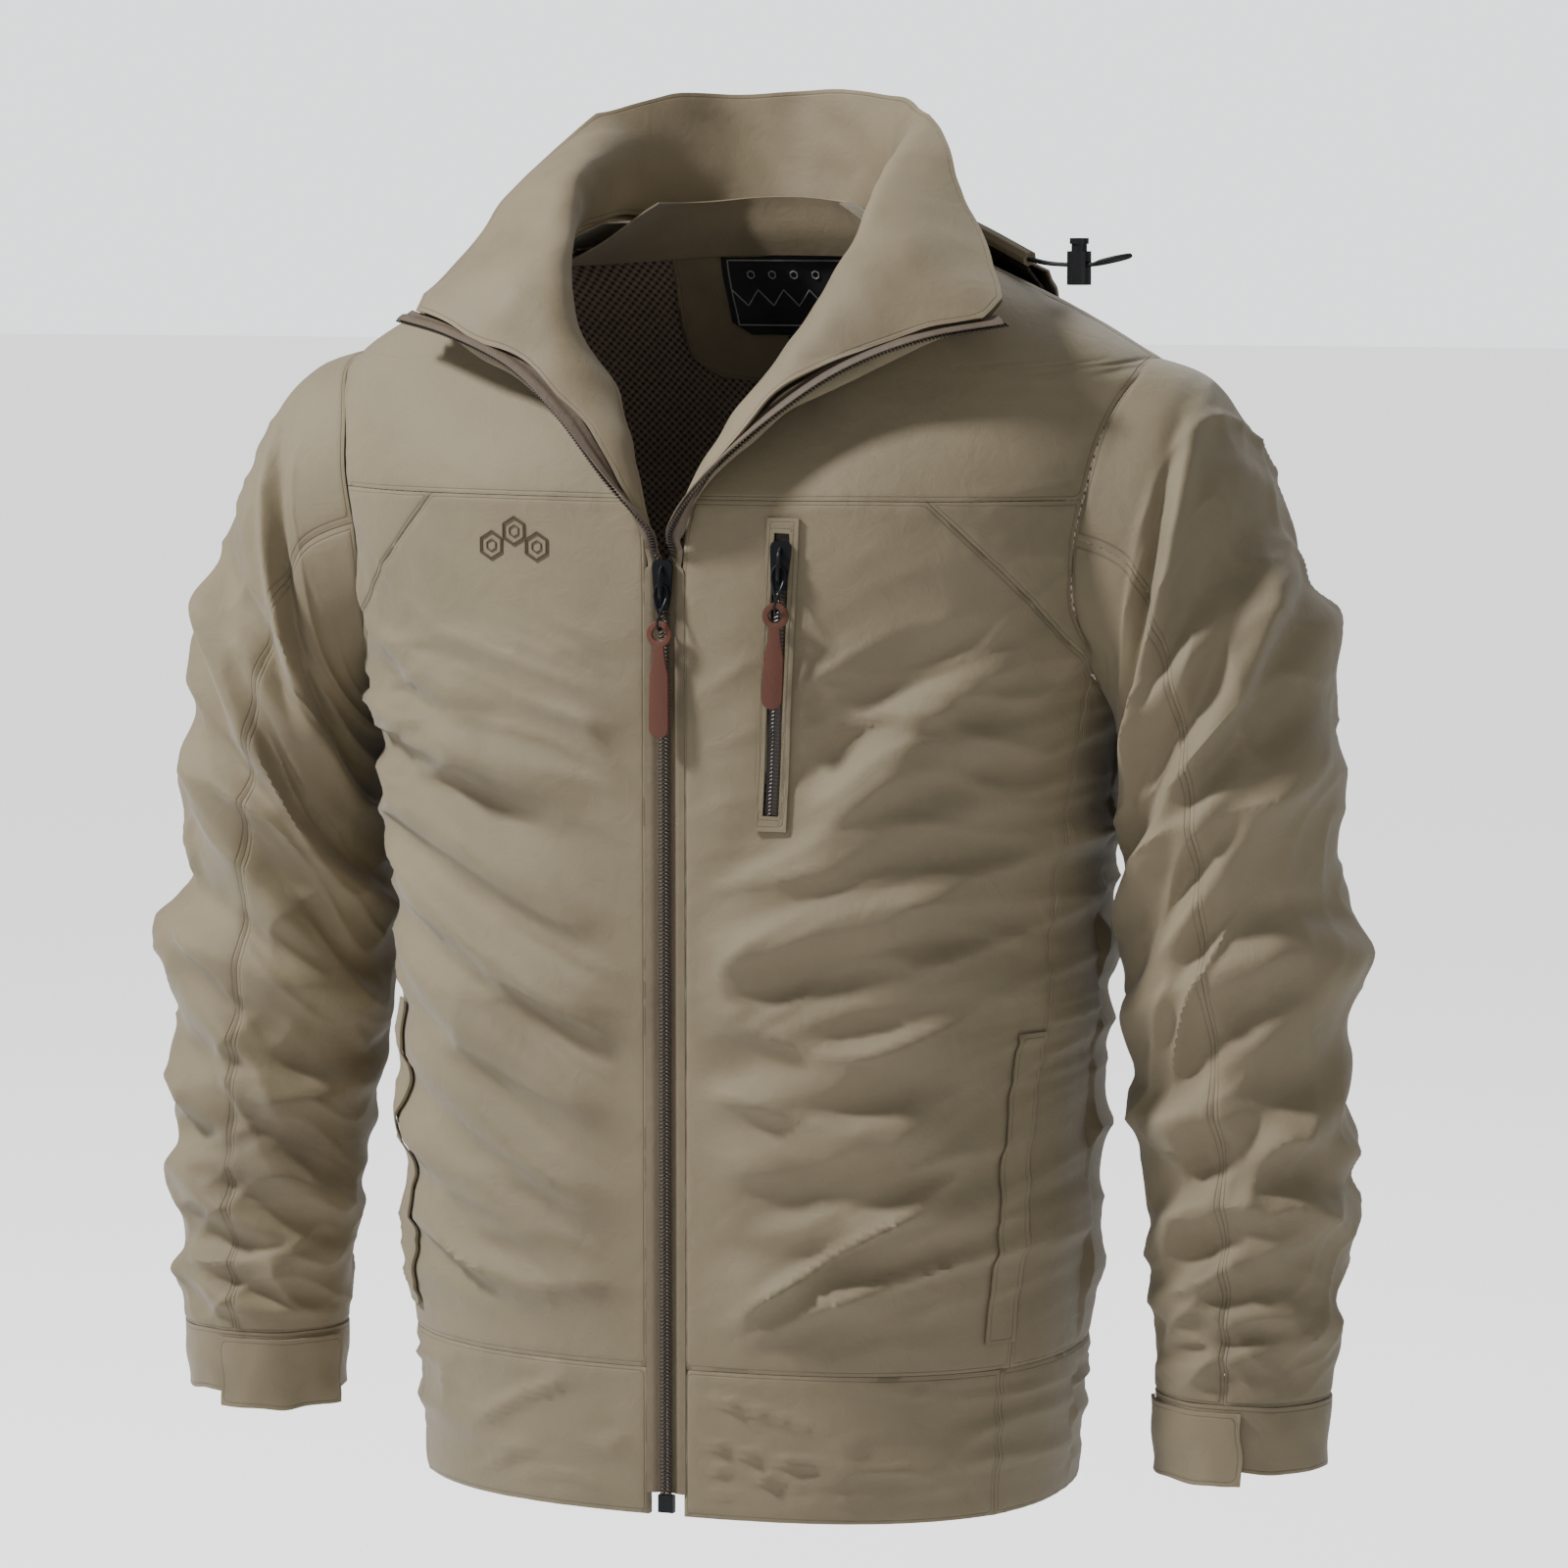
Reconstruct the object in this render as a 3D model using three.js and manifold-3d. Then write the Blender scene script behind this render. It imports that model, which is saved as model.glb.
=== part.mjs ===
import * as THREE from "three";
import { mergeVertices } from "three/addons/utils/BufferGeometryUtils.js";
import Module from "manifold-3d";

// All sizes in millimetres. Heights are measured from the hem; the finished group is moved so that
// the hanger loop, where the jacket hangs, is the origin.

// Cloth and clearances
const CLOTH = 1.6;
const GAP = 0.3;
const HALF_GAP = GAP / 2;
const HEM_THICKNESS = 4.4;
const LINING_DEPTH = 6;
const LINING_CLOTH = 1.2;
const SHORTEST_EDGE = 0.02;

// Torso heights
const HEM_HEIGHT = 80;
const ARMPIT_SEAM = 452;
const YOKE_SEAM = 545;
const NECK_SEAM = 690;
const ZIP_OPEN_HEIGHT = 523;

// Torso half sizes at each height: [height, half width, half depth in front, half depth behind]
const TORSO_STATIONS = [
  [0, 183, 134, 127],
  [80, 189, 134, 130],
  [200, 193, 134, 132],
  [330, 198, 134, 134],
  [432, 210, 134, 136],
  [500, 224, 134, 134],
  [545, 233, 133, 129],
  [560, 236, 127, 126],
  [580, 238, 113, 119],
  [596, 238, 101, 112],
  [608, 236, 93, 106],
  [618, 230, 88, 101],
  [629, 213, 84, 95],
  [641, 190, 80, 89],
  [654, 162, 75, 82],
  [667, 133, 69, 76],
  [679, 107, 63, 70],
  [690, 86, 58, 64],
];
const TORSO_SQUARENESS = 2.5;

// Armhole, an ellipse seen from the side
const ARMHOLE_HEIGHT = 525;
const ARMHOLE_HALF_HEIGHT = 93;
const ARMHOLE_HALF_DEPTH = 74;

// Side panel edges in degrees round the torso, from the front centre
const SIDE_FRONT_HEM = 66;
const SIDE_BACK_HEM = 114;
const GUSSET_TOP_X = 140;

// Sleeve rings: [inner x, inner height, outer x, outer height, half depth, middle y]
const SLEEVE_RINGS = [
  [212, 432, 231, 618, 74, 0],
  [217, 414, 262, 609, 75, 0],
  [219, 384, 291, 566, 77, 0],
  [218, 345, 317, 500, 75, 0],
  [217, 300, 331, 418, 69, -2],
  [219, 250, 338, 333, 63, -5],
  [227, 200, 342, 254, 57, -9],
  [234, 150, 344, 180, 51, -13],
  [238, 105, 341, 120, 46, -17],
  [240, 66, 336, 66, 42, -20],
];
const CUFF_HEIGHT = 36;
const CUFF_TAPER = 0.97;

// Zip
const ZIP_EDGE = 10;
const COIL_WIDTH = 3.3;
const COIL_THICKNESS = 2.4;
const TAPE_THICKNESS = 1;

// Chest pocket, on the left front
const CHEST_TOP = [66, 536];
const CHEST_BOTTOM = [59, 371];
const WELT_WIDTH = 17;
const WELT_THICKNESS = 1.4;
const CHEST_SLOT = 8;

const BRIM = { color: 0x998a6c, roughness: 0.8, metalness: 0 };
const LINING = { color: 0x6b5d50, roughness: 0.95, metalness: 0 };
const LINING_DARK = { color: 0x3c3028, roughness: 0.95, metalness: 0 };
const COIL = { color: 0x4a4038, roughness: 0.5, metalness: 0 };
const BLACK = { color: 0x17171a, roughness: 0.55, metalness: 0 };
const GUNMETAL = { color: 0x2b2c30, roughness: 0.3, metalness: 0.9 };
const LEATHER = { color: 0x8a5a44, roughness: 0.6, metalness: 0 };
const STEEL = { color: 0xb8bac0, roughness: 0.3, metalness: 1 };

const wasm = await Module();
wasm.setup();
const group = new THREE.Group();
group.name = "field_jacket";

const degrees = THREE.MathUtils.degToRad;
const mix = THREE.MathUtils.lerp;

// ---- shared helpers ----

function closedSolid(positions, triangles) {
  const geometry = new THREE.BufferGeometry();
  geometry.setAttribute("position", new THREE.Float32BufferAttribute(positions, 3));
  geometry.setIndex(triangles);
  return faceOutward(geometry);
}

function volumeOf(geometry) {
  const p = geometry.getAttribute("position");
  const index = geometry.getIndex().array;
  const a = new THREE.Vector3();
  const b = new THREE.Vector3();
  const c = new THREE.Vector3();
  let volume = 0;
  for (let i = 0; i < index.length; i += 3) {
    a.fromBufferAttribute(p, index[i]);
    b.fromBufferAttribute(p, index[i + 1]);
    c.fromBufferAttribute(p, index[i + 2]);
    volume += a.dot(b.cross(c)) / 6;
  }
  return volume;
}

function faceOutward(geometry) {
  if (volumeOf(geometry) < 0) {
    const index = geometry.getIndex().array;
    for (let i = 0; i < index.length; i += 3) {
      [index[i + 1], index[i + 2]] = [index[i + 2], index[i + 1]];
    }
  }
  return geometry;
}

function welded(geometry) {
  geometry.deleteAttribute("normal");
  geometry.deleteAttribute("uv");
  return mergeVertices(geometry, 1e-4);
}

function toManifold(geometry) {
  const clean = welded(geometry.clone());
  const mesh = new wasm.Mesh({
    numProp: 3,
    vertProperties: new Float32Array(clean.getAttribute("position").array),
    triVerts: new Uint32Array(clean.getIndex().array),
  });
  return new wasm.Manifold(mesh);
}

// Joined and cut solids lose edges too short to matter.
function fromManifold(solid) {
  const mesh = solid.simplify(SHORTEST_EDGE).getMesh();
  return closedSolid(Array.from(mesh.vertProperties), Array.from(mesh.triVerts));
}

function join(...geometries) {
  return fromManifold(geometries.map(toManifold).reduce((all, next) => all.add(next)));
}

function cut(geometry, ...tools) {
  return fromManifold(tools.map(toManifold).reduce((rest, tool) => rest.subtract(tool), toManifold(geometry)));
}

function mirrored(geometry) {
  const copy = geometry.clone();
  copy.scale(-1, 1, 1);
  return faceOutward(copy);
}

function addPiece(name, geometry, look) {
  const mesh = new THREE.Mesh(geometry, new THREE.MeshStandardMaterial(look));
  mesh.name = name;
  group.add(mesh);
}

function addPair(name, geometry, look) {
  addPiece(`${name}_left`, geometry, look);
  addPiece(`${name}_right`, mirrored(geometry), look);
}

// Outward direction of a surface at (u, v), measured over a short step each way.
function normalOf(surface, u, v) {
  const step = 0.01;
  const rise = surface.rise ?? step;
  const du = surface(u + step, v).sub(surface(u - step, v));
  const dv = surface(u, v + rise).sub(surface(u, v - rise));
  return du.cross(dv).normalize();
}

// Cloth between two depths below a surface. spot(s, t) gives the surface's (u, v).
function cloth(surface, spot, cols, rows, near, far) {
  const positions = [];
  for (const depth of [near, far]) {
    for (let j = 0; j <= rows; j += 1) {
      for (let i = 0; i <= cols; i += 1) {
        const [u, v] = spot(i / cols, j / rows);
        const p = surface(u, v).addScaledVector(normalOf(surface, u, v), -depth);
        positions.push(p.x, p.y, p.z);
      }
    }
  }
  return closedSolid(positions, sheetTriangles(cols, rows));
}

// Triangles of two grids of points joined round their edge.
function sheetTriangles(cols, rows) {
  const width = cols + 1;
  const count = width * (rows + 1);
  const triangles = [];
  const quad = (a, b, c, d) => triangles.push(a, b, c, a, c, d);
  for (let j = 0; j < rows; j += 1) {
    for (let i = 0; i < cols; i += 1) {
      const a = j * width + i;
      quad(a, a + 1, a + width + 1, a + width);
      quad(a + count, a + width + count, a + width + 1 + count, a + 1 + count);
    }
  }
  for (let i = 0; i < cols; i += 1) {
    const top = rows * width + i;
    quad(i, i + count, i + 1 + count, i + 1);
    quad(top, top + 1, top + 1 + count, top + count);
  }
  for (let j = 0; j < rows; j += 1) {
    const a = j * width;
    const b = a + cols;
    quad(a, a + width, a + width + count, a + count);
    quad(b, b + count, b + width + count, b + width);
  }
  return triangles;
}

// A ring of cloth that closes on itself: point(angle, t, depth).
function ringCloth(point, cols, rows, near, far) {
  const positions = [];
  for (const depth of [near, far]) {
    for (let j = 0; j <= rows; j += 1) {
      for (let i = 0; i < cols; i += 1) {
        const p = point((i / cols) * Math.PI * 2, j / rows, depth);
        positions.push(p.x, p.y, p.z);
      }
    }
  }
  const count = cols * (rows + 1);
  const triangles = [];
  const quad = (a, b, c, d) => triangles.push(a, b, c, a, c, d);
  for (let i = 0; i < cols; i += 1) {
    const k = (i + 1) % cols;
    for (let j = 0; j < rows; j += 1) {
      const low = j * cols;
      const high = low + cols;
      quad(low + i, low + k, high + k, high + i);
      quad(low + i + count, high + i + count, high + k + count, low + k + count);
    }
    const top = rows * cols;
    quad(i, i + count, k + count, k);
    quad(top + i, top + k, top + k + count, top + i + count);
  }
  return closedSolid(positions, triangles);
}

function tube(points, radius, steps, closed = false) {
  const path = new THREE.CatmullRomCurve3(points, closed);
  const round = new THREE.Shape().absarc(0, 0, radius, 0, Math.PI * 2);
  const options = { steps, bevelEnabled: false, extrudePath: path, curveSegments: 4 };
  return faceOutward(welded(new THREE.ExtrudeGeometry(round, options)));
}

function plate(shape, thickness, curveSegments = 8) {
  const options = { depth: thickness, bevelEnabled: false, curveSegments };
  return new THREE.ExtrudeGeometry(shape, options);
}

function box(width, depth, height, x, y, z) {
  return new THREE.BoxGeometry(width, depth, height).translate(x, y, z);
}

// ---- torso ----

const heights = TORSO_STATIONS.map((row) => row[0]);
const sizes = TORSO_STATIONS.flatMap((row) => row.slice(1));
const torsoSizes = new THREE.LinearInterpolant(heights, sizes, 3);

// Point of the torso at an angle from the front centre (towards the left arm) and a height.
function torso(angle, height) {
  const [width, front, back] = torsoSizes.evaluate(height);
  const s = Math.sin(angle);
  const c = Math.cos(angle);
  const depth = c > 0 ? front : back;
  const n = TORSO_SQUARENESS;
  const reach = (Math.abs(s / width) ** n + Math.abs(c / depth) ** n) ** (-1 / n);
  return new THREE.Vector3(reach * s, -reach * c, height);
}

torso.rise = 6;

// Angle at which the torso has a given x, in front.
function angleAtX(x, height) {
  const [width, front] = torsoSizes.evaluate(height);
  const y = front * (1 - (x / width) ** TORSO_SQUARENESS) ** (1 / TORSO_SQUARENESS);
  return Math.atan2(x, y);
}

// Angle at which the torso has a given distance in front of (or behind) the side seam.
function angleAtY(y, height) {
  const [width, front, back] = torsoSizes.evaluate(height);
  const depth = y < 0 ? front : back;
  const x = width * (1 - Math.abs(y / depth) ** TORSO_SQUARENESS) ** (1 / TORSO_SQUARENESS);
  return Math.atan2(x, -y);
}

function armholeDepth(height) {
  const up = (height - ARMHOLE_HEIGHT) / ARMHOLE_HALF_HEIGHT;
  return ARMHOLE_HALF_DEPTH * Math.sqrt(Math.max(0, 1 - up * up));
}

const armholeTop = ARMHOLE_HEIGHT + ARMHOLE_HALF_HEIGHT;
const armholeFront = (height) => angleAtY(-armholeDepth(height), height);
const armholeBack = (height) => angleAtY(armholeDepth(height), height);

// Angle of half a seam gap at a height.
const seam = (angle, height) => HALF_GAP / Math.hypot(torso(angle, height).x, torso(angle, height).y);

// Edge between front panel and side panel, then along the slanted seam up to the yoke.
function slantedSeam(height) {
  const corner = armholeFront(ARMPIT_SEAM) - degrees(1);
  if (height <= ARMPIT_SEAM) {
    return mix(degrees(SIDE_FRONT_HEM), corner, Math.max(0, height / ARMPIT_SEAM));
  }
  const t = (height - ARMPIT_SEAM) / (YOKE_SEAM - ARMPIT_SEAM);
  return mix(corner, angleAtX(GUSSET_TOP_X, YOKE_SEAM), t);
}

const backSeam = (height) => mix(degrees(SIDE_BACK_HEM), armholeBack(ARMPIT_SEAM), height / ARMPIT_SEAM);

// Neck and roll line: angles round the torso at which the collar starts
const ROLL_HEIGHTS = [ZIP_OPEN_HEIGHT, 545, 570, 594, 613, 632, 652, 668, 680, 690];
const ROLL_X = [ZIP_EDGE, 15, 27, 40, 57, 75, 88];
const ROLL_SIDE_ANGLES = [62, 75, 88];
const rollAngles = ROLL_HEIGHTS.map((height, i) => {
  return i < ROLL_X.length ? angleAtX(ROLL_X[i], height) : degrees(ROLL_SIDE_ANGLES[i - ROLL_X.length]);
});
const rollLine = new THREE.LinearInterpolant(ROLL_HEIGHTS, rollAngles, 1);

function innerEdge(height) {
  if (height <= ZIP_OPEN_HEIGHT) {
    return angleAtX(ZIP_EDGE, height);
  }
  return rollLine.evaluate(height)[0];
}

// Rows that climb in two stretches, so that neighbours share their heights.
const FRONT_ROWS = 20;
const LOWER_SHARE = 0.75;
function frontHeight(t) {
  const low = HEM_HEIGHT + HALF_GAP;
  const high = YOKE_SEAM - HALF_GAP;
  return t < LOWER_SHARE
    ? mix(low, ARMPIT_SEAM, t / LOWER_SHARE)
    : mix(ARMPIT_SEAM, high, (t - LOWER_SHARE) / (1 - LOWER_SHARE));
}

function between(from, to, height) {
  const pair = (s) => {
    const a = from(height) + seam(from(height), height);
    const b = to(height) - seam(to(height), height);
    return mix(a, b, s);
  };
  return pair;
}

function frontPanelSpot(s, t) {
  const height = frontHeight(t);
  return [between(innerEdge, slantedSeam, height)(s), height];
}

function backPanelSpot(s, t) {
  const height = frontHeight(t);
  const edge = (h) => (h <= ARMPIT_SEAM ? backSeam(h) : armholeBack(h));
  const start = edge(height) + seam(edge(height), height);
  return [mix(start, 2 * Math.PI - start, s), height];
}

function gussetSpot(s, t) {
  const height = mix(ARMPIT_SEAM + HALF_GAP, YOKE_SEAM - HALF_GAP, t);
  const from = slantedSeam(height) + seam(slantedSeam(height), height);
  return [mix(from, armholeFront(height) - seam(armholeFront(height), height), s), height];
}

function sidePanelTop(s) {
  let height = ARMPIT_SEAM;
  const angle = mix(slantedSeam(ARMPIT_SEAM), backSeam(ARMPIT_SEAM), s);
  for (let i = 0; i < 6; i += 1) {
    const across = Math.min(1, Math.abs(torso(angle, height).y / ARMHOLE_HALF_DEPTH));
    height = ARMHOLE_HEIGHT - ARMHOLE_HALF_HEIGHT * Math.sqrt(1 - across * across);
  }
  return Math.min(height, ARMPIT_SEAM) - HALF_GAP;
}

function sidePanelSpot(s, t) {
  const height = mix(HEM_HEIGHT + HALF_GAP, sidePanelTop(s), t);
  return [between(slantedSeam, backSeam, height)(s), height];
}

const YOKE_ROWS = [545, 562, 580, 596, 608, 615, 618, 629, 641, 654, 667, 679, 689.6];
function yokeHeight(t) {
  const height = YOKE_ROWS[Math.round(t * (YOKE_ROWS.length - 1))];
  return t === 0 ? height + HALF_GAP : height;
}

function frontYokeSpot(s, t) {
  const height = yokeHeight(t);
  const outer = (h) => (h < armholeTop ? armholeFront(h) : degrees(90));
  return [between(innerEdge, outer, height)(s), height];
}

function backYokeSpot(s, t) {
  const height = yokeHeight(t);
  const edge = height < armholeTop ? armholeBack(height) : degrees(90);
  const start = edge + seam(edge, height);
  return [mix(start, 2 * Math.PI - start, s), height];
}

function makeBody() {
  const front = cloth(torso, frontPanelSpot, 8, FRONT_ROWS, 0, CLOTH);
  addPiece("front_panel_left", cut(front, chestBar(CHEST_SLOT, 2 * CHEST_SLOT)), BRIM);
  addPiece("front_panel_right", mirrored(front), BRIM);
  addPiece("back_panel", cloth(torso, backPanelSpot, 16, FRONT_ROWS, 0, CLOTH), BRIM);
  addPair("underarm_gusset", cloth(torso, gussetSpot, 3, 5, 0, CLOTH), BRIM);
  addPair("side_panel", cloth(torso, sidePanelSpot, 6, 15, 0, CLOTH), BRIM);
  addPair("front_yoke", cloth(torso, frontYokeSpot, 7, YOKE_ROWS.length - 1, 0, CLOTH), BRIM);
  addPiece("back_yoke", cloth(torso, backYokeSpot, 16, YOKE_ROWS.length - 1, 0, CLOTH), BRIM);
}

// ---- hem band ----

function makeHem() {
  const top = HEM_HEIGHT - HALF_GAP;
  const frontSpot = (s, t) => {
    const height = mix(0, top, t);
    return [between(innerEdge, () => degrees(SIDE_FRONT_HEM), height)(s), height];
  };
  const backSpot = (s, t) => {
    const height = mix(0, top, t);
    const start = degrees(SIDE_FRONT_HEM) + seam(degrees(SIDE_FRONT_HEM), height);
    return [mix(start, 2 * Math.PI - start, s), height];
  };
  addPair("hem_front", cloth(torso, frontSpot, 8, 3, 0, HEM_THICKNESS), BRIM);
  addPiece("hem_back", cloth(torso, backSpot, 30, 3, 0, HEM_THICKNESS), BRIM);
}

// ---- sleeves ----

const ringCount = SLEEVE_RINGS.length - 1;
const ringSizes = new THREE.CubicInterpolant(
  SLEEVE_RINGS.map((ring, i) => i / ringCount),
  SLEEVE_RINGS.flat(),
  6,
);

function flatRing(angle, t) {
  const [innerX, innerZ, outerX, outerZ, depth, y] = ringSizes.evaluate(t);
  const across = (1 + Math.cos(angle)) / 2;
  const forward = -Math.sin(angle) * depth;
  return new THREE.Vector3(mix(innerX, outerX, across), y + forward, mix(innerZ, outerZ, across));
}

// Sleeve point: angle 0 on the outside of the arm, 90 degrees in front; t from armhole to cuff seam.
function sleeve(angle, t) {
  const p = flatRing(angle, t);
  const start = flatRing(angle, 0);
  const onTorso = torso(angleAtY(start.y, start.z), start.z);
  const fade = Math.max(0, 1 - t * ringCount) ** 2;
  p.x += (onTorso.x + 2 * GAP - start.x) * fade;
  return p;
}

const SLEEVE_ROWS = 19;
function sleeveSpot(from, to) {
  const edge = degrees(0.12);
  const last = 1 - HALF_GAP / 400;
  return (s, t) => [mix(degrees(to) - edge, degrees(from) + edge, s), mix(0, last, t)];
}

// The cuff hangs straight down from the last ring.
function cuffPoint(angle, t, depth) {
  const [innerX, top, outerX, , halfDepth, y] = SLEEVE_RINGS[ringCount];
  const size = mix(1, CUFF_TAPER, t);
  const halfWidth = ((outerX - innerX) / 2) * size - depth;
  const x = (innerX + outerX) / 2 + halfWidth * Math.cos(angle);
  const forward = -Math.sin(angle) * (halfDepth * size - depth);
  return new THREE.Vector3(x, y + forward, top - HALF_GAP - t * CUFF_HEIGHT);
}

const TAB_THICKNESS = 2;
const TAB_FREE_END = 78;
const TAB_SEWN_END = 172;
function makeSleeves() {
  addPair("sleeve_upper", cloth(sleeve, sleeveSpot(-90, 90), 8, SLEEVE_ROWS, 0, CLOTH), BRIM);
  addPair("sleeve_under", cloth(sleeve, sleeveSpot(90, 270), 8, SLEEVE_ROWS, 0, CLOTH), BRIM);
  const cuff = ringCloth(cuffPoint, 32, 1, 0, CLOTH * 1.5);
  addPair("cuff", cuff, BRIM);
  const tabSurface = (angle, t) => cuffPoint(angle, t, 0);
  const tabSpot = (s, t) => {
    return [mix(degrees(TAB_SEWN_END), degrees(TAB_FREE_END), s), mix(1.2, 0.1, t)];
  };
  addPair("cuff_tab", cloth(tabSurface, tabSpot, 12, 1, -GAP, -GAP - TAB_THICKNESS), BRIM);
}

// ---- collar ----

// Matching points of the left half, from the back centre to the slider: where the collar leaves the
// neck, the middle of its inner facing, the middle of its outer cloth and its free edge.
const NECK_ANGLES = [180, 150, 120, 92];
const neckLine = NECK_ANGLES.map((angle) => torso(degrees(angle), NECK_SEAM));
for (let i = ROLL_HEIGHTS.length - 2; i >= 0; i -= 1) {
  neckLine.push(torso(rollAngles[i], ROLL_HEIGHTS[i]));
}
const point = (x, y, z) => new THREE.Vector3(x, y, z);
const facingMiddle = [
  point(0, 71, 726), point(38, 63, 727), point(68, 42, 727), point(83, 12, 727), point(87, -22, 720),
  point(87, -48, 702), point(88, -76, 680), point(86, -99, 655), point(76, -109, 632), point(57, -113, 609),
  point(37, -124, 585), point(20, -137.5, 552), point(10.3, -135.5, 524.5),
];
const outerMiddle = [
  point(0, 74, 724), point(40, 67, 724), point(73, 45, 722), point(94, 12, 716), point(111, -20, 700),
  point(124, -48, 676), point(134, -72, 652), point(132, -90, 630), point(106, -102, 612), point(74, -116, 592),
  point(43, -127, 571), point(22, -138, 549), point(10.6, -135.4, 524),
];
const freeEdge = [
  point(0, 74, 762), point(36, 68, 762), point(72, 47, 757), point(98, 19, 745), point(120, -8, 716),
  point(142, -35, 682), point(158, -58, 657), point(171, -79, 641), point(128, -103, 632), point(88, -114, 616),
  point(55, -128, 591), point(26, -141, 556), point(11, -137, 526),
];
const CORNER = 7;

function sectionCurve(points, from, to) {
  const curve = new THREE.CatmullRomCurve3(points.slice(from, to + 1));
  return (k) => curve.getPoint(THREE.MathUtils.clamp((k - from) / (to - from), 0, 1));
}

// A curve through the points, with a sharp turn at the collar corner.
function cornered(points) {
  const top = sectionCurve(points, 0, CORNER);
  const front = sectionCurve(points, CORNER, points.length - 1);
  return (k) => (k < CORNER ? top(k) : front(k));
}

const neckCurve = sectionCurve(neckLine, 0, neckLine.length - 1);
const edgeCurve = cornered(freeEdge);

// A strip from the neck to the free edge through a middle line; v runs from neck to edge and u
// from the slider on the left (-12) round the back centre (0) to the slider on the right.
function strip(middle) {
  const middleCurve = sectionCurve(middle, 0, middle.length - 1);
  return (k, v) => {
    const side = k > 0 ? -1 : 1;
    const a = neckCurve(Math.abs(k));
    const c = edgeCurve(Math.abs(k));
    const m = middleCurve(Math.abs(k));
    const b = m.multiplyScalar(2).addScaledVector(a, -0.5).addScaledVector(c, -0.5);
    const p = new THREE.QuadraticBezierCurve3(a, b, c).getPoint(v);
    p.x *= side;
    return p;
  };
}

const COLLAR_START = 0.015;
const FACING_START = 0.05;
const COLLAR_LAST = 12;
const COLLAR_COLS = 40;
function makeCollar() {
  const spot = (start) => (s, t) => [mix(-COLLAR_LAST, COLLAR_LAST, s), mix(start, 0.99, t)];
  const near = 3 * GAP;
  const inner = near + CLOTH + GAP;
  const outerSpot = spot(COLLAR_START);
  const facingSpot = spot(FACING_START);
  const outer = cloth(strip(outerMiddle), outerSpot, COLLAR_COLS, 4, near, near + CLOTH);
  const facing = cloth(strip(facingMiddle), facingSpot, COLLAR_COLS, 4, inner, inner + CLOTH);
  addPiece("collar_outer", outer, BRIM);
  addPiece("collar_facing", facing, BRIM);
}

// ---- main zip ----

// From the hem up to the collar corner: the cloth edge and the middle of the chain.
const ZIP_FOOT = 12;
const STRAIGHT_HEIGHTS = [ZIP_FOOT, 110, 210, 310, 410, 500];
const onFront = (x, z) => torso(angleAtX(x, z), z);
const clothLine = [
  ...STRAIGHT_HEIGHTS.map((z) => onFront(ZIP_EDGE, z)),
  point(10, -134, 516), point(11, -137, 526), point(26, -141, 556), point(55, -128, 591),
  point(88, -114, 616), point(128, -103, 632), point(171, -79, 641),
];
const chainLine = [
  ...STRAIGHT_HEIGHTS.map((z) => onFront(HALF_GAP, z)),
  point(3.6, -134.5, 516), point(5.5, -143, 529), point(28, -150, 555), point(62, -134, 588),
  point(95, -119, 612), point(135, -108, 628), point(176, -85, 636),
];

// u counts the points above; v runs from the cloth edge to the middle of the chain.
function zipSurface(u, v) {
  const last = clothLine.length - 1;
  const chain = sectionCurve(chainLine, 0, last)(u);
  chain.x = Math.max(chain.x, HALF_GAP);
  return sectionCurve(clothLine, 0, last)(u).lerp(chain, v);
}

const ZIP_LAST = clothLine.length - 1;
const SLIDER_LENGTH = 26;
const SLIDER_PLATE = 2;
const CROWN_RADIUS = 1.1;
const WIRE = 0.75;
const EYE_REACH = 3.5;
const EYE_DROP = 20.5;
const PULL_FORWARD = 6.8;
const PULL_THICKNESS = 2.2;

// Slider seen from the front, with its origin on the chain; outward is -y. plateBack is how far in
// front of the chain's surface the plate lies and footBack how deep its post reaches.
function sliderBody(plateBack, footWidth, footLength, footBack) {
  const outline = new THREE.Shape();
  const half = SLIDER_LENGTH / 2;
  outline.moveTo(-3.6, -half);
  outline.lineTo(3.6, -half);
  outline.quadraticCurveTo(5, -2, 5.6, half - 4);
  outline.quadraticCurveTo(5.6, half, 2, half);
  outline.lineTo(-2, half);
  outline.quadraticCurveTo(-5.6, half, -5.6, half - 4);
  outline.quadraticCurveTo(-5, -2, -3.6, -half);
  const front = plate(outline, SLIDER_PLATE).rotateX(Math.PI / 2).translate(0, -plateBack, 0);
  const crownTop = plateBack + SLIDER_PLATE;
  const crown = tube(
    [
      point(0, -crownTop + 0.4, 9), point(0, -crownTop - 2.2, 7), point(0, -crownTop - 3.4, 3),
      point(0, -crownTop - 3.4, -3), point(0, -crownTop - 2.2, -7), point(0, -crownTop + 0.4, -9),
    ],
    CROWN_RADIUS,
    12,
  );
  const footDepth = plateBack + footBack + 0.5;
  const foot = box(footWidth, footDepth, footLength, 0, footBack - footDepth / 2, half - 0.4 - footLength / 2);
  return { front, crown, foot, crownTop };
}

// Twisted wire link: its top passes under the crown, its foot turns sideways through the leather.
function pullerBody(crownTop) {
  const near = -crownTop - GAP - WIRE - 0.2;
  const far = -crownTop - PULL_FORWARD + 3;
  const low = -EYE_DROP;
  const link = [
    point(-1.6, near, 0), point(1.6, near, 0), point(3.2, near, -2.5), point(3.1, near - 1, -8),
    point(1.4, far - EYE_REACH, low + 4), point(0, far - EYE_REACH, low), point(0, far, low - EYE_REACH),
    point(0, far + EYE_REACH, low), point(-1.4, far + EYE_REACH, low + 4), point(-3.1, near - 1, -8),
    point(-3.2, near, -2.5),
  ];
  return tube(link, WIRE, 26, true);
}

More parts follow.
